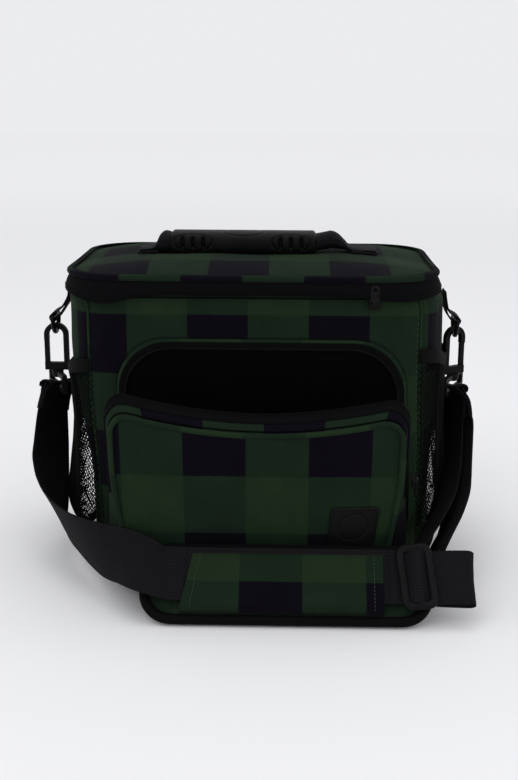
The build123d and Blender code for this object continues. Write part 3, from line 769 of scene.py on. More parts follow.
def top_point(s, z, out):
    """The lid's own wall, straight above the body's."""
    xy, normal = BODY.at(s)
    grow = body_grow(s, np.full_like(s, WALL_TOP)) + out
    return with_z(xy + normal * grow[..., None], z)


def lid_back():
    """The checked gusset and the hinge strip at the back."""
    reach = RIM.half - BAND_HALF + 2
    s, level = sheet(RIM.half - reach, RIM.half + reach, 120, 1.0, 0.0, 8)
    xy, normal = RIM.at(s)
    z = 250.6 + (rim_z(s) - 2.4 - 250.6) * (1 - level)
    out = -2.2 - 1.2 * level
    grid = with_z(xy + normal * out[..., None], z)
    slab("lid_back_cloth", grid, 1.3, np.stack([s + 7.0, z], -1), PLAID, "lid", ["lid_back_gusset"])
    half = 110.0
    s, z = sheet(BODY.half - half, BODY.half + half, 90, 236.0, 249.7, 7)
    grid = body_point(s, z, 1.9)
    slab("hinge_cloth", grid, 1.2, np.stack([s, z], -1), BINDING, "bag", ["lid_hinge_strip"], "black_fabric")
    for k, height in enumerate((238.2, 247.2)):
        line = np.linspace(BODY.half - half + 2, BODY.half + half - 2, 120)
        path = body_point(line, height, 2.0)
        stitch_row(f"hinge_stitches_{k}", path, BODY.out(line), "bag", "black_fabric", 3.6, 2.6, 0.6)


def inside():
    """The foam walls and the pale heat-sealed liner with its floor."""
    s, z = np.meshgrid(BODY.round(240), np.linspace(10.0, 245.0, 40))
    wrap_uv = np.stack(sheet(-BODY.half, BODY.half, 241, 10.0, 245.0, 40), -1)
    slab("wall_foam_sheet", body_point(s, z, -2.9), 6.4, wrap_uv, FOAM, "bag", ["wall_foam"], wrap=True)
    place = body_point(s, z, -9.8)
    crinkle = ripples(place, 26.0, 81) * 0.5 * ease((z - 12) / 12) * ease((243 - z) / 12)
    slab("liner_wall", body_point(s, z, -9.9 + crinkle), 0.9, wrap_uv, FOIL, "bag", ["inner_liner"],
         wrap=True)
    xy, normal = BODY.at(BODY.round(240))
    rim = with_z(xy - normal * 10.6, 11.4)

    def floor_at(rho, points):
        p = np.array(points, float)
        p[:, :2] *= rho
        p[:, 2] += ripples(p, 40.0, 82) * 0.5 * (1 - rho)
        return p

    disc("liner_floor", rim, floor_at, 0.9, 24, FOIL, "bag")
    s = RIM.round(240)
    xy, normal = RIM.at(s)
    rim = with_z(xy - normal * 4.5, rim_z(s) - 0.4)
    disc("lid_foam_sheet", rim, lambda rho, p: lid_surface(rho, p) - [0, 0, 2.4], 6.0, 24, FOAM, "lid",
         ["lid_foam"])

    def under(rho, points):
        p = lid_surface(rho, points) - np.array([0, 0, 9.0])
        p[:, 2] += ripples(p, 28.0, 83) * 0.5 * (1 - rho)
        return p

    disc("lid_liner_sheet", rim, under, 0.9, 30, FOIL, "lid", ["lid_liner"])


body_panel("front_panel", -SEAM_S, SEAM_S, 150)
body_panel("right_side_panel", SEAM_S, BODY.half - SEAM_S, 110)
body_panel("back_panel", BODY.half - SEAM_S, BODY.half + SEAM_S, 150)
body_panel("left_side_panel", -(BODY.half - SEAM_S), -SEAM_S, 110)
body_seams()
base()
base_foam()
body_zip()
lid()
inside()


# ------------------------------------------------------------------ the front pocket, standing open
POCKET_COUNT = 720
FACE_LOOP = arch_loop(117.0, 45.0, 203.0, 17.0, 24.0, POCKET_COUNT)
RIM_LOOP = arch_loop(122.8, 44.0, 213.0, 19.0, 26.0, POCKET_COUNT)
BACK_LOOP = arch_loop(121.5, 44.0, 212.0, 42.0, 24.0, POCKET_COUNT)
POCKET_MID = np.array([0.0, 125.0])
RIM_Y, ZIP_END_Z = -109.0, 128.0
POCKET_SAG, POCKET_TILT = 17.0, -0.018
BLACK_FROM = 0.50                # the gusset is checked cloth in front of this share of its depth
POCKET_COLUMN, POCKET_ROW = 104.1, 112.3


def face_y(z):
    """Depth of the pocket's front panel when it is zipped shut: it leans back towards its top."""
    return -139.0 + (z - 45.0) / 165.0 * 16.0


def settle(x, y, z, depth):
    """Sags the middle of the pocket's mouth, and opens it. depth is 0 at the face and 1 at the rim."""
    wide = 1 + (0.120 * depth - 0.085) * ease((165 - z) / 110)
    sag = POCKET_SAG * np.clip(1 - (x / 112.0) ** 2, 0, 1) * ease((z - 105) / 105)
    lifted = z - sag + POCKET_TILT * x * ease((z - 60) / 100)
    return opened(np.stack([POCKET_X + x * wide, y, lifted], -1))


def pick(loop, t):
    at = (np.asarray(t, float) % 1.0) * POCKET_COUNT
    low = np.floor(at).astype(int) % POCKET_COUNT
    part = (at - np.floor(at))[..., None]
    return loop[low] * (1 - part) + loop[(low + 1) % POCKET_COUNT] * part


def pocket_at(t, depth, out=0.0):
    """A point of the gusset: t goes round once, from the bottom's middle to the right."""
    t, depth = np.broadcast_arrays(np.asarray(t, float), np.asarray(depth, float))
    flat = pick(FACE_LOOP, t) * (1 - depth[..., None]) + pick(RIM_LOOP, t) * depth[..., None]
    ahead = pick(RIM_LOOP, t + 0.002) - pick(RIM_LOOP, t - 0.002)
    normal = unit(np.stack([ahead[..., 1], -ahead[..., 0]], -1))
    x, z = flat[..., 0], flat[..., 1]
    y = face_y(z) * (1 - depth) + RIM_Y * depth
    place = np.stack([x, y, z], -1)
    inner = np.clip(depth, 0, 1)
    puff = out + 1.8 * np.sin(pi * inner) + ripples(place, 60.0, 41) * 0.8 * inner
    return settle(x + normal[..., 0] * puff, y, z + normal[..., 1] * puff, depth)


def face_at(x, z, out=0.0):
    """A point on the padded front panel. x is from the pocket's middle."""
    x, z = np.broadcast_arrays(np.asarray(x, float), np.asarray(z, float))
    place = np.stack([x, z * 0, z], -1)
    edge = np.clip(1 - np.maximum(np.abs(x) / 113.5, np.abs(z - 127.5) / 82.5), 0, 1)
    pillow = 3.2 * (1 - (1 - edge) ** 4)
    corner = np.exp(-((x + 78) / 34) ** 2 - ((z - 176) / 26) ** 2)
    soft = ripples(place, 75.0, 42) * 0.9 + ripples(place, 26.0, 43) * 1.5 * corner
    y = face_y(z) - (pillow + soft * ease(edge / 0.12) + out)
    return settle(x, y, z, np.zeros_like(y))


def front_place(x, z, out=0.0):
    """A point on the front of the body. x is from the bag's middle."""
    reach = np.clip((np.abs(x) - BODY.a) / BODY_R, 0, 0.97)
    s = np.where(np.abs(x) <= BODY.a, x, np.sign(x) * (BODY.a + BODY_R * np.arcsin(reach)))
    return body_point(s, z, out)


def zip_span(loop):
    """The part of a pocket outline that the zip runs along: t where it starts and ends."""
    high = np.flatnonzero(loop[:, 1] >= ZIP_END_Z)
    return high[0] / POCKET_COUNT, high[-1] / POCKET_COUNT


OPEN_FRONT = opened(np.array([0.0, -1.0, 0.0])) - opened(np.zeros(3))


def pocket_front():
    """The pocket's gusset, black band, zip teeth, padded face, linings, cord and a painted shadow line behind
    the cord.
    """
    t, depth = np.meshgrid(np.linspace(0, 1, 260, endpoint=False), np.linspace(1.0, 0.0, 12))
    run = sheet(0, 1, 261, 1.0, 0.0, 12)
    girth = lengths(with_z(RIM_LOOP, 0.0))[-1]
    uv = np.stack([(0.5 - run[0]) * girth + 44.7, run[1] * 14.0 + DARK_ROW], -1)
    slab("pocket_gusset_cloth", pocket_at(t, depth), 1.4, uv, PLAID, "front_pocket",
         ["pocket_gusset"], wrap=True)
    slab("pocket_gusset_lining", pocket_at(t, depth, -1.7), 0.7, uv, LINING, "front_pocket")
    start, end = zip_span(RIM_LOOP)
    t, depth = sheet(start, end, 240, 1.0, BLACK_FROM, 8)
    slab("pocket_band_cloth", pocket_at(t, depth, 0.7), 1.2, np.stack([t * 660.0, depth * 14], -1), BAND,
         "front_pocket", ["pocket_zip_band"])
    line = np.linspace(start, end, 420)
    for k, level in enumerate((BLACK_FROM + 0.1, 0.9)):
        path = pocket_at(line, level, 0.8)
        outwards = -frames(path, -OPEN_FRONT)[0]
        stitch_row(f"pocket_band_stitches_{k}", path, outwards, "front_pocket", "black_fabric")
    path = pocket_at(line, 1.0, 0.2)
    sweep("pocket_band_fold", path, frames(path, OPEN_FRONT), round_profile(1.1, 8), BAND, "front_pocket")
    teeth = np.linspace(start, end, 290)
    centres = pocket_at(teeth, 1.13, -0.4)
    along = unit(np.gradient(centres, axis=0))
    blocks("pocket_teeth", centres, along, -OPEN_FRONT, (1.05, 2.2, 1.7), COIL,
           "front_pocket", ["pocket_front_coil"])
    face = with_z(FACE_LOOP[::3], 0.0)

    def surface(out):
        def height(rho, points):
            x = points[:, 0] * rho
            z = POCKET_MID[1] + (points[:, 1] - POCKET_MID[1]) * rho
            return face_at(x, z, out)
        return height

    def checked_uv(p):
        return p[0] + POCKET_COLUMN, (p[2] - POCKET_ROW) * 0.983 + CHECK

    disc("pocket_face_cloth", face, surface(0.0), 1.5, 40, PLAID, "front_pocket",
         ["pocket_front_panel"], uv_at=checked_uv, lift=OPEN_FRONT)
    disc("pocket_face_lining", face * 0.985 + [0, 1.9, 0], surface(-2.4), 0.8, 24, LINING, "front_pocket",
         ["pocket_front_lining"], uv_at=checked_uv, lift=OPEN_FRONT)
    ring_t = np.linspace(0, 1, 300, endpoint=False)
    path = pocket_at(ring_t, 0.0, 0.4) + OPEN_FRONT * 0.6
    sweep("pocket_cord", path, frames(path, OPEN_FRONT, True), round_profile(2.3, 12), PLAID, "front_pocket",
          ["pocket_piping"], closed=True, uv_start=30.0)
    # A thin cord in black lining colour just behind the pocket's cord, though the cloth there is checked:
    # painted seam shadow.
    path = pocket_at(ring_t, 0.17, 0.35)
    sweep("pocket_cord_shadow_line", path, frames(path, OPEN_FRONT, True), round_profile(0.6, 6), LINING,
          "front_pocket", closed=True, slot="plaid_fabric")
    patch()


def patch():
    """A stitched leather square with a plain pressed ring."""
    low, high = node_box("leather_patch")
    mid_x = (low[0] + high[0]) / 2 - POCKET_X
    half_w, half_h, corner, mid_z = 20.5, 19.0, 4.5, 109.0
    loop = arch_loop(half_w, -half_h, half_h, corner, corner, 120)
    rim = with_z(loop, 0.0)

    def height(rho, points):
        across, up = points[:, 0] * rho, points[:, 1] * rho
        ring = hypot_of(across, up)
        groove = 0.45 * np.exp(-((ring - 12.0) / 1.1) ** 2) + 0.25 * np.exp(-((ring - 9.0) / 0.7) ** 2)
        edge = np.maximum(np.abs(points[:, 0] / half_w), np.abs(points[:, 1] / half_h)) * rho
        return face_at(mid_x + across, mid_z + up, 1.9 - groove - 0.7 * ease((edge - 0.93) / 0.07))

    disc("patch_leather_square", rim, height, 1.5, 36, LEATHER, "front_pocket", ["leather_patch"],
         uv_at=face_uv, lift=OPEN_FRONT)
    border = arch_loop(half_w - 2.6, -half_h + 2.6, half_h - 2.6, corner - 1.5, corner - 1.5, 160)
    border = np.vstack([border, border[:1]])
    path = face_at(mid_x + border[:, 0], mid_z + border[:, 1], 1.95)
    stitch_row("patch_stitches", path, OPEN_FRONT, "front_pocket",
               "patch_leather", 3.2, 2.3, 0.6, lift=0.0)


def hypot_of(a, b):
    return np.sqrt(a * a + b * b)


def pocket_back():
    """The black lining on the body behind the pocket, and the arch of edging, tape and teeth round it."""
    flat = with_z(BACK_LOOP[::3], 0.0)

    def height(rho, points):
        x = POCKET_X + points[:, 0] * rho * 0.97
        z = POCKET_MID[1] + (points[:, 1] - POCKET_MID[1]) * rho * 0.97
        return front_place(x, z, 1.2)

    disc("pocket_back_cloth", flat, height, 0.8, 30, LINING, "bag", ["pocket_back_lining"],
         uv_at=face_uv, lift=FRONTWARD)
    start, end = zip_span(BACK_LOOP)
    line = np.linspace(start, end, 420)
    arch = pick(BACK_LOOP, line)
    outwards = BODY.out(np.clip(POCKET_X + arch[:, 0], -150, 150))

    def ring(wide, high, out):
        """The arch, shrunk towards the pocket's middle, this far out from the body's front."""
        z = POCKET_MID[1] + (arch[:, 1] - POCKET_MID[1]) * high
        return front_place(POCKET_X + arch[:, 0] * wide, z, out)

    path = front_place(POCKET_X + arch[:, 0] * 0.99, arch[:, 1] - 1.0, 1.0)
    sweep("pocket_arch_fold", path, frames(path, outwards), round_profile(1.9, 10), PLAID, "bag",
          ["pocket_back_edging"])
    inner = ring(0.965, 0.95, 2.6)
    sweep("pocket_arch_tape", inner, frames(inner, outwards), tape_profile(6.0, 0.9), TAPE, "bag")
    stitched = front_place(POCKET_X + arch[:, 0] * 1.012, arch[:, 1] + 1.8, 0.2)
    stitch_row("pocket_arch_stitches", stitched, outwards, "bag", "plaid_fabric")
    teeth = resample(ring(0.945, 0.92, 3.3), 280)
    along = unit(np.gradient(teeth, axis=0))
    blocks("pocket_arch_teeth", teeth, along, FRONTWARD, TOOTH, COIL, "bag",
           ["pocket_back_coil"])


WEB_LOW = 56.0                   # the height where the side webs start
WEB_BEND_Y = (-99.5, -118.5)     # the depths of two points made at the foot of each web; nothing uses the points


def pocket_webs():
    """Folded cloth at each side, from the body to the pocket's rim."""
    for name, sign in (("left", -1), ("right", 1)):
        high = np.linspace(WEB_LOW, ZIP_END_Z + 4, 30)
        row = RIM_LOOP if sign > 0 else RIM_LOOP[::-1]
        side_half = row[: POCKET_COUNT // 2]
        side_part = side_half[(side_half[:, 1] > 46) & (side_half[:, 1] < ZIP_END_Z + 8)]
        rim_x = np.interp(high, side_part[:, 1], side_part[:, 0])
        far = settle(rim_x - sign * 2.6, np.full_like(high, RIM_Y - 2.0), high, np.ones_like(high))
        near = front_place(np.full_like(high, POCKET_X + sign * 122.5), high, 1.0)
        across = np.linspace(0, 1, 12)
        grid = near[:, None, :] * (1 - across[None, :, None]) + far[:, None, :] * across[None, :, None]
        grid[..., 0] -= sign * 5.0 * np.sin(pi * across)[None, :] * ease((high - 48) / 60)[:, None]
        grid[..., 0] += ripples(grid, 30.0, 51) * 0.8 * np.sin(pi * across)[None, :]
        uv = np.stack(np.meshgrid(across * 30.0, high), -1)
        web = slab(f"{name}_pocket_web", grid, 1.0 * sign, uv, LINING, None)
        start, end = ([near[0, 0] * MM, y * MM, WEB_LOW * MM] for y in WEB_BEND_Y)
        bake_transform(web)
        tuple(start)
        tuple(end)


def pocket_sill():
    """Cloth that closes the pocket below, from the body's wall down to the rim."""
    flat = pick(RIM_LOOP, np.linspace(-0.17, 0.17, 80))
    near = front_place(POCKET_X + flat[:, 0] * 0.98, flat[:, 1] + 3.0, 0.6)
    far = settle(flat[:, 0] * 0.985, np.full(80, RIM_Y - 1.5), flat[:, 1] + 1.8, np.ones(80))
    across = np.linspace(0, 1, 10)[None, :, None]
    grid = near[:, None, :] * (1 - across) + far[:, None, :] * across
    grid[..., 2] -= 2.5 * np.sin(pi * across[..., 0])
    uv = np.stack(np.meshgrid(across[0, :, 0] * 30.0, flat[:, 0]), -1)
    sill = slab("pocket_sill", grid, 1.0, uv, LINING, None)
    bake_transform(sill)


# ------------------------------------------------------------------ side nets
NET_LOW, ELASTIC_H = 12.0, 12.0
NET_TOPS = {"left": (193.0, 172.0, 184.0), "right": (204.0, 186.0, 192.0)}   # front, lowest, back
NET_PITCH, NET_SLOPE = 3.3, 1.65              # the distance between strands, and their rise over run
NET_STEP, NET_STRAND = 3.0, 0.44              # the length of a strand's straight bits, and its radius


def net_top(tops, q):
    """Height of the net's upper edge: q runs from 0 at the front seam to 1 at the back seam."""
    front, middle, back = tops
    return middle + (front - middle) * ease(1 - q / 0.42) + (back - middle) * ease((q - 0.55) / 0.45)


def net_point(sign, q, z, top, out=0.0):
    """A point of the net that hangs outside the body's side wall."""
    q, z = np.broadcast_arrays(np.asarray(q, float), np.asarray(z, float))
    s = SEAM_S - 1.0 + (BODY.half - 2 * SEAM_S + 2.0) * q
    upper = np.clip((z - 50.0) / np.maximum(top - 50.0, 1), 0, 1)
    fullness = 21.0 if sign < 0 else 15.0
    reach = 2.0 + fullness * ease((z - 2.0) / 42.0) * (1 - 0.93 * ease(upper))
    swell = np.sin(pi * np.clip(q, 0, 1)) ** 0.6
    place = np.stack([s, z * 0, z], -1)
    soft = ripples(place, 45.0, 61)
    return body_point(sign * s, z, 1.6 + (reach + soft) * swell + out)


def strands(sign, tops, length):
    """The net's crossed strands: the middle line of each, and its direction out of the wall."""
    tallest = max(tops) - ELASTIC_H
    lean = (tallest - NET_LOW) / NET_SLOPE
    for way in (1, -1):
        for k in range(int((length + lean) / NET_PITCH)):
            foot = -lean + k * NET_PITCH if way > 0 else k * NET_PITCH
            z = np.arange(NET_LOW, tallest, NET_STEP)
            q = (foot + way * (z - NET_LOW) / NET_SLOPE) / length
            keep = (q > 0.0) & (q < 1.0)
            keep &= z < net_top(tops, np.clip(q, 0, 1)) - ELASTIC_H + NET_STEP
            if keep.sum() >= 2:
                q, z = q[keep], z[keep]
                line = net_point(sign, q, z, net_top(tops, q) - ELASTIC_H, 0.25 * way)
                yield line, BODY.out(SEAM_S + length * q) * [sign, 1, 1]


def nets():
    """A net of crossed strands on each side, with an elastic band along its top and a hem at its foot."""
    length = BODY.half - 2 * SEAM_S
    for name, sign in (("left", -1), ("right", 1)):
        tops = NET_TOPS[name]
        verts, faces, uvs = [], [], []
        for line, normal in strands(sign, tops, length):
            side = unit(np.cross(unit(np.gradient(line, axis=0)), normal)) * NET_STRAND
            normal = normal * NET_STRAND
            base = len(verts)
            around = [line + side, line + normal, line - side, line - normal]
            verts += list(np.stack(around, 1).reshape(-1, 3))
            for cell in cells(len(line), 4, True):
                faces.append([base + 4 * i + j % 4 for i, j in cell])
                uvs.append([(i * NET_STEP, j) for i, j in cell])
            for i in (0, len(line) - 1):
                faces.append([base + 4 * i + j for j in range(4)])
                uvs.append([(i * NET_STEP, j) for j in range(4)])
        finish_piece(f"{name}_net", verts, faces, uvs, NET, "bag", [f"{name}_mesh_pocket"])
        q = np.linspace(0.0, 1.0, 110)
        low = net_top(tops, q) - ELASTIC_H
        rise = np.linspace(0, 1, 7)
        grid = np.array([net_point(sign, q, low + ELASTIC_H * f, low, 0.9 + 0.4 * np.sin(pi * f))
                         for f in rise])
        uv = np.stack(np.meshgrid(q * length, ELASTIC_H * rise), -1)
        slab(f"{name}_elastic_band", grid, 1.5 * sign, uv, ELASTIC, "bag", [f"{name}_pocket_elastic"])
        foot = net_point(sign, q, NET_LOW + 1.0, low, 0.4)
        sweep(f"{name}_net_hem", foot, frames(foot, UP), tape_profile(1.6, 5.0), BINDING, "bag")


# ------------------------------------------------------------------ rings, tabs and hooks
def tabs():
    """The webbing tab that holds each ring: down from its seam, round the wire and up again."""
    wire = 3.4
    for name, sign in (("left", -1), ("right", 1)):
        wall = abs(body_point(sign * BODY.half / 2, 228.0)[0])
        path = [(wall + 2.2, 238.5), (wall + 3.2, 231.5), (RING_X - 7.0, RING_Z + 9.0),
                (RING_X + 0.8, RING_Z + wire + 0.4), (RING_X + wire, RING_Z + 0.2),
                (RING_X + 0.8, RING_Z - wire), (RING_X - 3.2, RING_Z - 0.6), (RING_X - 8.6, RING_Z + 7.2),
                (wall + 1.6, 229.6), (wall + 0.7, 237.5)]
        stations = [((sign * x, 0.0, z), (0.0, 1.0, 0.0)) for x, z in path]
        webbing(f"{name}_tab_webbing", stations, 70, "bag", [f"{name}_ring_tab"], width=22.5, thick=1.5)
        for k, y in enumerate((-8.6, 8.6)):
            edge = np.array([(sign * (wall + 2.3), y, z) for z in np.linspace(229.0, 238.5, 8)])
            stitch_row(f"{name}_tab_stitches_{k}", edge, (sign, 0, 0), "bag", "black_webbing", 3.0, 2.3, 0.7)


# ------------------------------------------------------------------ the shoulder strap
SLIDER_X, SLIDER_HALF_W, SLIDER_HALF_H = 136.0, 11.6, 24.2
SLIDER_TURN = radians(6.0)
UP_PAD = np.array([0.0, sin(PAD_LEAN), cos(PAD_LEAN)])
OUT_PAD = np.array([0.0, -cos(PAD_LEAN), sin(PAD_LEAN)])


def on_pad(x, out, up=0.0):
    """A point over the pad: x along the bag, out from its middle plane, up across its width."""
    return np.array([x, PAD_MID[1], PAD_MID[2]]) + OUT_PAD * out + UP_PAD * up


def eye_fold(name, outer, inner, bar):
    """The webbing's end, turned over the eye's bar and sewn down. Runs are (path, across, out)."""
    fold_r, gap = 3.5, WEB_T + 0.1
    sides = []
    for (path, across, out), sign in ((outer, 1), (inner, -1)):
        run = lengths(path)
        picks = [int(np.argmin(np.abs(run - far))) for far in (25.0, 19.0, 12.0, 7.0)]
        offsets = (gap, gap, gap + 0.1, gap + 0.8)
        sides.append([(path[i] + sign * out[i] * off, across[i]) for i, off in zip(picks, offsets)])
    path, across, out = outer
    flat = unit(out[0] * [1.0, 1.0, 0.0])
    turns = [(bar + fold_r * (flat * cos(a) + UP * sin(a)), across[0])
             for a in np.radians((10, 60, 120, 170))]
    webbing(f"{name}_eye_wrap", sides[0] + turns + sides[1][::-1], 60, "strap", width=44.0)
    run = lengths(path)
    for k, far in enumerate((18.0, 22.0)):
        i = int(np.argmin(np.abs(run - far)))
        row = path[i] + out[i] * (gap + 0.9) + np.linspace(-19, 19, 16)[:, None] * across[i]
        stitch_row(f"{name}_eye_stitches_{k}", row, out[i], "strap", "black_webbing",
                   2.6, 2.0, 0.7)


EYE_Z = 146.5                    # height of the bars that the webbing's ends turn round
# Stations of the webbing's runs: the middle's x, y, z, and the direction across there.
LEFT_RUN = (
    (-182.6, 0.0, EYE_Z + 1.5, -0.41, -0.91, 0.0), (-184.6, -1.5, EYE_Z - 6, -0.42, -0.91, 0.0),
    (-188.0, -6.0, 122.0, -0.46, -0.88, 0.03), (-189.5, -8.5, 100.0, -0.54, -0.82, 0.14),
    (-190.0, -14.0, 78.0, -0.60, -0.74, 0.28), (-185.0, -36.0, 59.0, -0.46, -0.74, 0.48),
    (-174.0, -72.0, 45.0, -0.30, -0.36, 0.88), (-151.0, -112.0, 42.0, -0.28, -0.08, 0.95),
    (-124.0, -147.0, 43.0, -0.20, 0.30, 0.93), (-98.0, -168.0, 44.5, -0.10, 0.66, 0.74))
# On the right two runs lie together: the outer's middle, the inner's middle, and the direction across both.
RIGHT_RUNS = (
    (184.0, -1.0, EYE_Z + 1.0, 182.6, 0.0, EYE_Z + 1.0, 0.38, -0.92, 0.0),
    (189.5, -2.5, 136.0, 184.0, -0.5, 132.0, 0.36, -0.93, 0.05),
    (192.0, -6.0, 116.0, 183.5, -3.0, 114.0, 0.32, -0.94, 0.12),
    (190.5, -22.0, 97.0, 181.5, -20.0, 93.5, 0.26, -0.94, 0.24),
    (186.5, -46.0, 80.0, 177.0, -45.0, 76.0, 0.22, -0.92, 0.33),
    (181.0, -78.0, 68.0, 169.0, -76.0, 64.0, 0.22, -0.86, 0.45),
    (172.0, -112.0, 59.0, 158.0, -108.0, 56.0, 0.26, -0.78, 0.56))
# Where the front run lies along the pad: x, and how far it lifts there. It humps over the slider's bar.
ALONG_PAD = ((-52.0, 0.0), (-20.0, 0.0), (20.0, 0.0), (60.0, 0.0), (104.0, 0.0), (113.0, -0.6), (121.0, -2.0),
             (127.5, -1.2), (SLIDER_X, 3.4), (144.5, -1.2), (151.0, -2.0), (159.0, -0.4), (171.0, 0.4))
FOLD_X, FOLD_R = 178.5, 3.0      # where the front run folds back behind itself
EDGE_ON = (0.32, -0.72, 0.62)    # the direction across the right runs, behind the pad


def strap():
    """The webbing in four runs, from the left eye along the pad to the right eye."""
    left = [(row[:3], row[3:]) for row in LEFT_RUN]
    left += [(on_pad(-78.0, STRAP_OUT + 1.0, 8.5), (-0.03, 0.78, 0.62)),
             (on_pad(-63.0, STRAP_OUT + 0.1, STRAP_UP + 0.6), UP_PAD),
             (on_pad(-50.0, STRAP_OUT, STRAP_UP), UP_PAD)]
    run = webbing("strap_left", left, 170, "strap", ["strap_left_run"], wave=0.5)
    eye_fold("left", run, run, np.array([-RING_X, 0.0, EYE_Z + 0.2]))
    back = STRAP_OUT - 2 * FOLD_R
    front = [(on_pad(x, STRAP_OUT + lift, STRAP_UP), UP_PAD) for x, lift in ALONG_PAD + ((FOLD_X, 0.0),)]
    front += [(on_pad(FOLD_X + 2.6, STRAP_OUT - FOLD_R, STRAP_UP - 0.6), UP_PAD)]
    front += [(on_pad(x, back + lift, STRAP_UP - 1.0), UP_PAD)
              for x, lift in ((FOLD_X, 0.0), (165.0, 0.6), (151.0, 2.0))]
    webbing("strap_front", front, 190, "strap", ["strap_front_run"])
    for k, x in enumerate((111.5, 114.1)):
        bar = np.array([on_pad(x, STRAP_OUT + 0.4, STRAP_UP + u) for u in np.linspace(-20, 20, 16)])
        stitch_row(f"strap_bar_stitches_{k}", bar, OUT_PAD, "strap", "black_webbing", 2.6, 2.0, 0.7)
    ends = {"outer": ((160.0, -23.0, 44.0), (150.0, -25.0, 26.0), (141.0, -27.5, 17.0)),
            "inner": ((143.0, -29.0, 44.0), (126.0, -29.0, 24.0))}
    runs = []
    for first, (name, behind) in zip((0, 3), ends.items()):
        stations = [(row[first:first + 3], row[6:]) for row in RIGHT_RUNS]
        stations += [(on_pad(*place), EDGE_ON) for place in behind]
        runs.append(webbing(f"strap_{name}", stations, 130, "strap", [f"strap_right_{name}"], wave=0.3))
    eye_fold("right", *runs, np.array([RING_X, 0.0, EYE_Z + 0.2]))


def strap_adjuster():
    """The moulded three-bar slider: a rounded frame a little askew on the webbing, and its middle bar."""
    right = cos(SLIDER_TURN) * np.array([1.0, 0, 0]) + sin(SLIDER_TURN) * UP_PAD
    rise = np.cross(OUT_PAD, right)
    rise = rise * np.sign(rise @ UP_PAD)
    centre = on_pad(SLIDER_X, STRAP_OUT + 0.9, STRAP_UP)
    loop = arch_loop(SLIDER_HALF_W, -SLIDER_HALF_H, SLIDER_HALF_H, 5.5, 5.5, 140)
    path = centre + np.outer(loop[:, 0], right) + np.outer(loop[:, 1], rise)
    sweep("slider_frame", path, frames(path, OUT_PAD, True), round_profile(3.3, 14, 0.66), PLASTIC,
          "strap_adjuster", ["strap_slider"], closed=True)
    bar = centre - OUT_PAD * 0.6 + np.outer(np.linspace(-SLIDER_HALF_H, SLIDER_HALF_H, 24), rise)
    sweep("slider_bar", bar, frames(bar, OUT_PAD), round_profile(1.9, 12), PLASTIC, "strap_adjuster")


def pad():
    """The shoulder pad: a crowned face and rear, a binding round them, and a row of stitches on each side."""
    mid = PAD_MID[0]
    loop = arch_loop(PAD_L / 2 - 2.0, -PAD_W / 2 + 2.0, PAD_W / 2 - 2.0, 22.0, 22.0, 220)
    rim = with_z(loop, 0.0)

    def cushion(sign, thick):
        def height(rho, points):
            x, u = points[:, 0] * rho, points[:, 1] * rho
            crown = sign * (thick * (1 - rho ** 5) + 1.6)
            soft = ripples(np.stack([x, u, x * 0], -1), 40.0, 71) * 0.4 * (1 - rho**4)
            base = np.array([mid, PAD_MID[1], PAD_MID[2]])
            return base + np.outer(x, [1, 0, 0]) + np.outer(u, UP_PAD) + np.outer(crown + soft, OUT_PAD)
        return height

    front = disc("pad_face", rim, cushion(1, 2.6), 1.5, 20, PLAID, "pad", ["shoulder_pad"], "pad_foam",
                 uv_at=lambda p: (p[0] + 160.0, p[2] * 1.3 + 8.0), lift=OUT_PAD)
    rear = disc("pad_rear", rim, cushion(-1, 1.4), 1.5, 20, LINING, "pad", slot="pad_foam",
                uv_at=face_uv, lift=-OUT_PAD)
    outline = arch_loop(PAD_L / 2 - 1.6, -PAD_W / 2 + 1.6, PAD_W / 2 - 1.6, 22.0, 22.0, 320)
    path = np.array([on_pad(mid + x, 0.0, u) for x, u in outline])
    edge = sweep("pad_edge", path, frames(path, OUT_PAD, True), tape_profile(9.0, 7.8, 6), BINDING, "pad",
                 ["pad_binding"], closed=True)
    for sign in (1, -1):
        loop = np.vstack([outline, outline[:1]])
        inner = np.array([on_pad(mid + x * 0.967, sign * 3.9, u * 0.9) for x, u in loop])
        stitch_row(f"pad_stitches_{'front' if sign > 0 else 'rear'}", inner, OUT_PAD * sign,
                   "pad", "black_binding", 3.6, 2.6, 0.6)
    sleeve()


SLEEVE_HALF = 80.0
SLEEVE_COLUMN, SLEEVE_ROW = 57.5, 1.5


def sleeve():
    """The checked cloth sleeve that the webbing runs through, sewn over the pad."""
    mid = 29.0
    x, turn = sheet(mid - SLEEVE_HALF, mid + SLEEVE_HALF, 110, 0, 1, 40)
    half_w, low, high = 25.5, 3.0, 12.6
    up = -half_w + 2 * half_w * turn
    edge = np.clip(np.minimum(turn, 1 - turn) / 0.16, 0, 1)
    out = low + (high - low) * np.sqrt(np.clip(1 - (1 - edge) ** 2, 0, 1))
    ends = ease((SLEEVE_HALF - np.abs(x - mid)) / 7.0)
    toward_left = np.clip((mid - x) / SLEEVE_HALF, 0, 1) ** 2
    cut = toward_left * (1.8 + 5.1 * up / half_w)
    place = np.stack([x, up, x * 0], -1)
    soft = ripples(place, 46.0, 72) * 0.7 + ripples(place, 18.0, 73) * 0.25
    out = out + (soft - 0.6 * (1 - ends)) * edge
    base = np.array([0.0, PAD_MID[1], PAD_MID[2]])
    grid = base + up[..., None] * UP_PAD + out[..., None] * OUT_PAD
    grid[..., 0] += x + cut
    uv = np.stack([x + cut + SLEEVE_COLUMN, up + SLEEVE_ROW], -1)
    sleeve_piece = slab("sleeve_cloth", grid, 1.3, uv, PLAID, "pad", ["pad_sleeve"])
    for k, row_x in enumerate((mid - SLEEVE_HALF + 7.0, mid + SLEEVE_HALF - 7.0)):
        column = int(np.argmin(np.abs(x[0] - row_x)))
        stitch_row(f"sleeve_stitches_{k}", grid[2:-2, column], OUT_PAD, "pad", "plaid_fabric", 2.8, 2.0,
                   thread=THREAD_PALE)


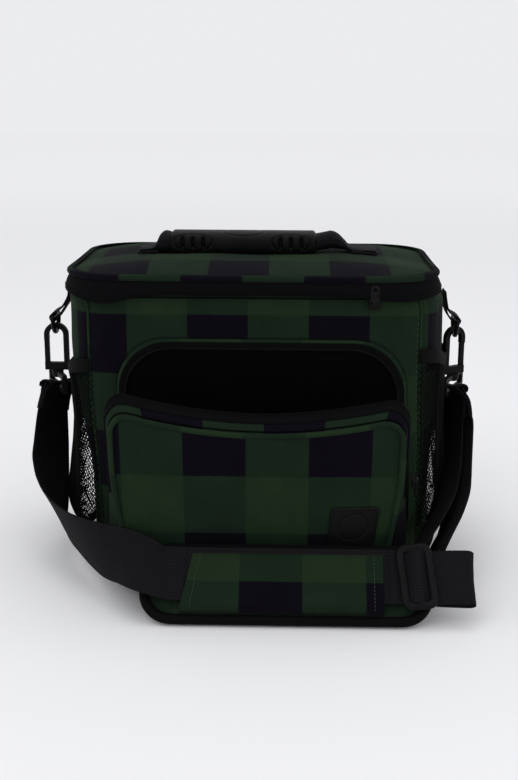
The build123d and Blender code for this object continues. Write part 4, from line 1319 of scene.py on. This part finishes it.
# ------------------------------------------------------------------ the carry handle
def ring_loft(name, rings, material, body, nodes=(), count=40, power=2.6):
    """A closed soft bar through rings of (x, z, half depth, half height)."""
    rows = smooth_path([[x, 0.0, z, a, b] for x, z, a, b in rings], 60)
    angle = np.arange(count) * tau / count
    c, s = np.cos(angle), np.sin(angle)
    across, rise = np.sign(c) * np.abs(c) ** (2 / power), np.sign(s) * np.abs(s) ** (2 / power)
    verts, faces, uvs = [], [], []
    for x, _, z, a, b in rows:
        verts += [(x, a * u, z + b * v) for u, v in zip(across, rise)]
    for cell in cells(len(rows), count, True):
        faces.append([i * count + j % count for i, j in cell])
        uvs.append([(verts[q][0], 2.0 * cell[0][1]) for q in faces[-1]])
    for i in (0, len(rows) - 1):
        faces.append([i * count + j for j in range(count)])
        uvs.append([(0.0, 0.0)] * count)
    verts = np.array(verts)
    verts += (ripples(verts, 22.0, 91) * 0.5)[:, None] * np.array([0, 0.3, 1.0])
    return finish_piece(name, verts, faces, uvs, material, body, nodes)


GRIP_Z, GRIP_DEPTH, GRIP_HEIGHT = 280.6, 20.5, 9.6           # the middle, and half the grip's size each way
SLOT_GROUPS, SLOT_STEP = (-44.5, 42.5), 9.2


def grip():
    """The moulded grip: a rounded bar with pressed slots, an oval and rows of dimples."""
    low, high = node_box("handle_grip")
    middle, half = (low[0] + high[0]) / 2, (high[0] - low[0]) / 2
    columns, count = 200, 96
    x = np.linspace(-half, half, columns)[:, None]
    turn = (np.arange(count) * tau / count)[None, :]
    depth, height, centre = GRIP_DEPTH, GRIP_HEIGHT, GRIP_Z
    c, s = np.cos(turn), np.sin(turn)
    across, rise = -np.sign(c) * np.abs(c) ** 0.74, np.sign(s) * np.abs(s) ** 0.74
    end = np.sqrt(np.clip(1 - np.clip((np.abs(x) - half + 3.0) / 3.0, 0, 1) ** 2, 0.05, 1))
    up = np.degrees(np.where(turn > pi, turn - tau, turn))
    press = np.zeros((columns, count))
    for group in SLOT_GROUPS:
        for k in (-SLOT_STEP, 0.0, SLOT_STEP):
            slot = ((x - group - k) / 2.3) ** 4 + ((up - 14.0) / 24.0) ** 4
            press += 2.2 * ease(1.5 - slot)
        edge = np.sqrt(((x - group) / 17.0) ** 2 + ((up - 14.0) / 38.0) ** 2)
        press += 0.6 * np.exp(-((edge - 1.0) / 0.07) ** 2)
    oval = np.sqrt((x / 19.0) ** 2 + ((up - 84.0) / 40.0) ** 2)
    press += 0.6 * np.exp(-((oval - 1.0) / 0.07) ** 2)
    size = end * (1 - press / 12.0)
    grid = np.stack([np.broadcast_to(x + middle, size.shape), depth * across * size,
                     centre + height * rise * size], -1)
    uv = np.stack([np.broadcast_to(x, size.shape), np.broadcast_to(turn * 15.0, size.shape)], -1)
    slab("grip_rubber_bar", grid, 1.2, uv, RUBBER, "handle", ["handle_grip"], wrap=True)
    spots = np.arange(-half + 6.0, half - 5.0, 5.2)
    spots = spots[np.abs(spots) > 23.0]
    lift = radians(66.0)
    dots = np.stack([spots + middle, np.full_like(spots, -depth * cos(lift) ** 0.74),
                     np.full_like(spots, centre + height * sin(lift) ** 0.74)], 1)
    blocks("grip_dots", dots, (1.0, 0, 0), (0.0, -0.35, 0.94), (1.6, 1.6, 0.7), RUBBER, "handle")


# Sections of the webbing at the grip's ends: x, z, half the depth and half the height.
LEFT_FOLD = ((-68.0, 281.0, 16.0, 7.0), (-74.0, 281.2, 17.0, 8.2), (-80.0, 281.4, 17.5, 9.6),
             (-84.5, 280.6, 17.6, 8.0), (-87.5, 278.6, 17.8, 4.2), (-91.0, 276.9, 18.0, 1.6),
             (-102.0, 276.0, 18.0, 1.1))
RIGHT_FOLD = ((48.0, 281.0, 15.0, 7.0), (55.0, 281.6, 15.5, 7.4), (62.0, 283.0, 14.0, 7.6),
              (69.0, 284.2, 12.5, 7.6), (75.0, 282.6, 12.5, 6.6), (81.0, 279.6, 14.5, 3.8),
              (87.0, 277.0, 17.0, 1.8), (108.0, 276.0, 18.0, 1.1))


def handle():
    """The grip, and the webbing folded round each of its ends and sewn flat to the lid."""
    grip()
    piece = ring_loft("handle_fold_left", LEFT_FOLD, WEBBING, None, ["handle_webbing"])
    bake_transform(piece)
    piece = ring_loft("handle_fold_right", RIGHT_FOLD, WEBBING, None)
    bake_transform(piece)
    for name, low, high in (("left", -103.5, -85.5), ("right", 86.5, 109.5)):
        x, y = sheet(low, high, 16, -18.6, 18.6, 16)
        under = lid_surface_at(x, y)
        grid = np.stack([x, y, under + 2.6], -1)
        slab(f"{name}_anchor", grid, 2.0, np.stack([x, y], -1), WEBBING, "lid",
             ["handle_anchors"] if name == "left" else [])
        a, b, c, d = (low + 2, -16), (high - 2, -16), (high - 2, 16), (low + 2, 16)
        for k, (start, end) in enumerate(((a, b), (d, c), (a, d), (b, c), (a, c), (d, b))):
            px, py = np.linspace(start, end, 14).T
            line = np.stack([px, py, lid_surface_at(px, py) + 2.7], -1)
            stitch_row(f"{name}_anchor_stitches_{k}", line, UP, "lid", "black_webbing", 3.0, 2.2, 0.7)


def lid_surface_at(x, y):
    """Height of the lid's cloth at a place in plan."""
    rho = np.clip(np.maximum(np.abs(x) / 156.0, np.abs(y) / 101.0), 0, 1)
    return PIPING_Z - 0.6 + lid_dome(rho, x) - grip_dent(x, y)


pocket_front()
pocket_back()
pocket_webs()
pocket_sill()
nets()
tabs()
strap()
strap_adjuster()
pad()
handle()


# ------------------------------------------------------------------ finish of the CAD pieces that stay
def dress(node, look):
    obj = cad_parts[node]
    obj.data.materials.clear()
    obj.data.materials.append(look)


for side in ("left", "right"):
    dress(f"{side}_d_ring", WIRE)
    for node in (f"{side}_hook", f"{side}_hook_gate", f"{side}_strap_eye"):
        dress(node, PLASTIC)
dress("strap_end_loop", PLASTIC)
for node in ("lid_zip_slider", "lid_zip_pull", "pocket_zip_slider", "pocket_zip_pull"):
    dress(node, ZIP_METAL)


# ------------------------------------------------------------------ studio
FLOOR_R, FLOOR_SIDES, FLOOR_Z = 9.0, 96, -0.0006     # metres
PAINTED_LIGHT_NEAR, PAINTED_LIGHT_FAR = 0.9, 4.5                        # between these distances the floor's colour is painted lighter, standing in for lamp light that falls off further out, so the floor turns into the background


def studio():
    """A round pale floor, painted lighter further out to stand in for the lamps' light falling off so that it
    fades into the background, a pale sky and three soft lamps.
    """
    floor = bpy.data.meshes.new("floor")
    turns = [tau * k / FLOOR_SIDES for k in range(FLOOR_SIDES)]
    floor.from_pydata([(FLOOR_R * cos(a), FLOOR_R * sin(a), FLOOR_Z) for a in turns], [],
                      [tuple(range(FLOOR_SIDES))])
    ground = bpy.data.objects.new("floor", floor)
    bpy.context.scene.collection.objects.link(ground)
    look = Look("pale_floor", (0.83, 0.83, 0.845), 0.9)
    away = look.node("ShaderNodeVectorMath", {0: look.place()}, operation="LENGTH").outputs["Value"]
    painted_light_ramp = look.node("ShaderNodeMapRange", {"Value": away, "From Min": PAINTED_LIGHT_NEAR, "From Max": PAINTED_LIGHT_FAR},
                     interpolation_type="SMOOTHSTEP").outputs["Result"]
    # Painted light: the floor is darker near the bag, where the lamps add light, and lighter far out, where
    # their light has fallen off.
    look.color(look.mix(painted_light_ramp, (0.815, 0.815, 0.83), (0.985, 0.985, 0.99)))
    floor.materials.append(look.mat)
    bpy.context.scene.view_settings.view_transform = "Standard"
    world = bpy.data.worlds.new("studio")
    bpy.context.scene.world = world
    world.use_nodes = True
    sky = world.node_tree.nodes["Background"]
    sky.inputs[0].default_value = (0.93, 0.935, 0.95, 1)
    sky.inputs[1].default_value = 0.90
    for name, at, aim, size, power in (
            ("key", (-0.7, -1.5, 1.9), (0, 0, 0.12), 1.4, 9.0),
            ("fill", (1.5, -1.3, 0.9), (0, 0, 0.12), 1.2, 3.0),
            ("top", (0.1, 0.3, 2.2), (0, 0, 0.1), 1.6, 9.0)):
        data = bpy.data.lights.new(name, "AREA")
        data.size, data.energy = size, power
        lamp = bpy.data.objects.new(name, data)
        lamp.location = at
        lamp.rotation_euler = (Vector(aim) - Vector(at)).to_track_quat("-Z", "Y").to_euler()
        bpy.context.scene.collection.objects.link(lamp)


def camera():
    """The viewing angle: a little above the bag and a touch right of its middle."""
    pitch, yaw, roll = 0.25439, -0.023356, 0.004327
    look = Vector((sin(yaw) * cos(pitch), cos(yaw) * cos(pitch), -sin(pitch)))
    right = Vector((cos(yaw), -sin(yaw), 0))
    up = right.cross(look)
    right, up = cos(roll) * right + sin(roll) * up, cos(roll) * up - sin(roll) * right
    data = bpy.data.cameras.new("camera")
    data.sensor_width, data.lens = 36.0, 55.18
    data.clip_start, data.clip_end = 0.01, 50.0
    cam = bpy.data.objects.new("camera", data)
    cam.matrix_world = Matrix((right, up, -look)).transposed().to_4x4()
    cam.location = (0.02941, -1.07625, 0.42331)
    bpy.context.scene.collection.objects.link(cam)
    bpy.context.scene.camera = cam


studio()
camera()
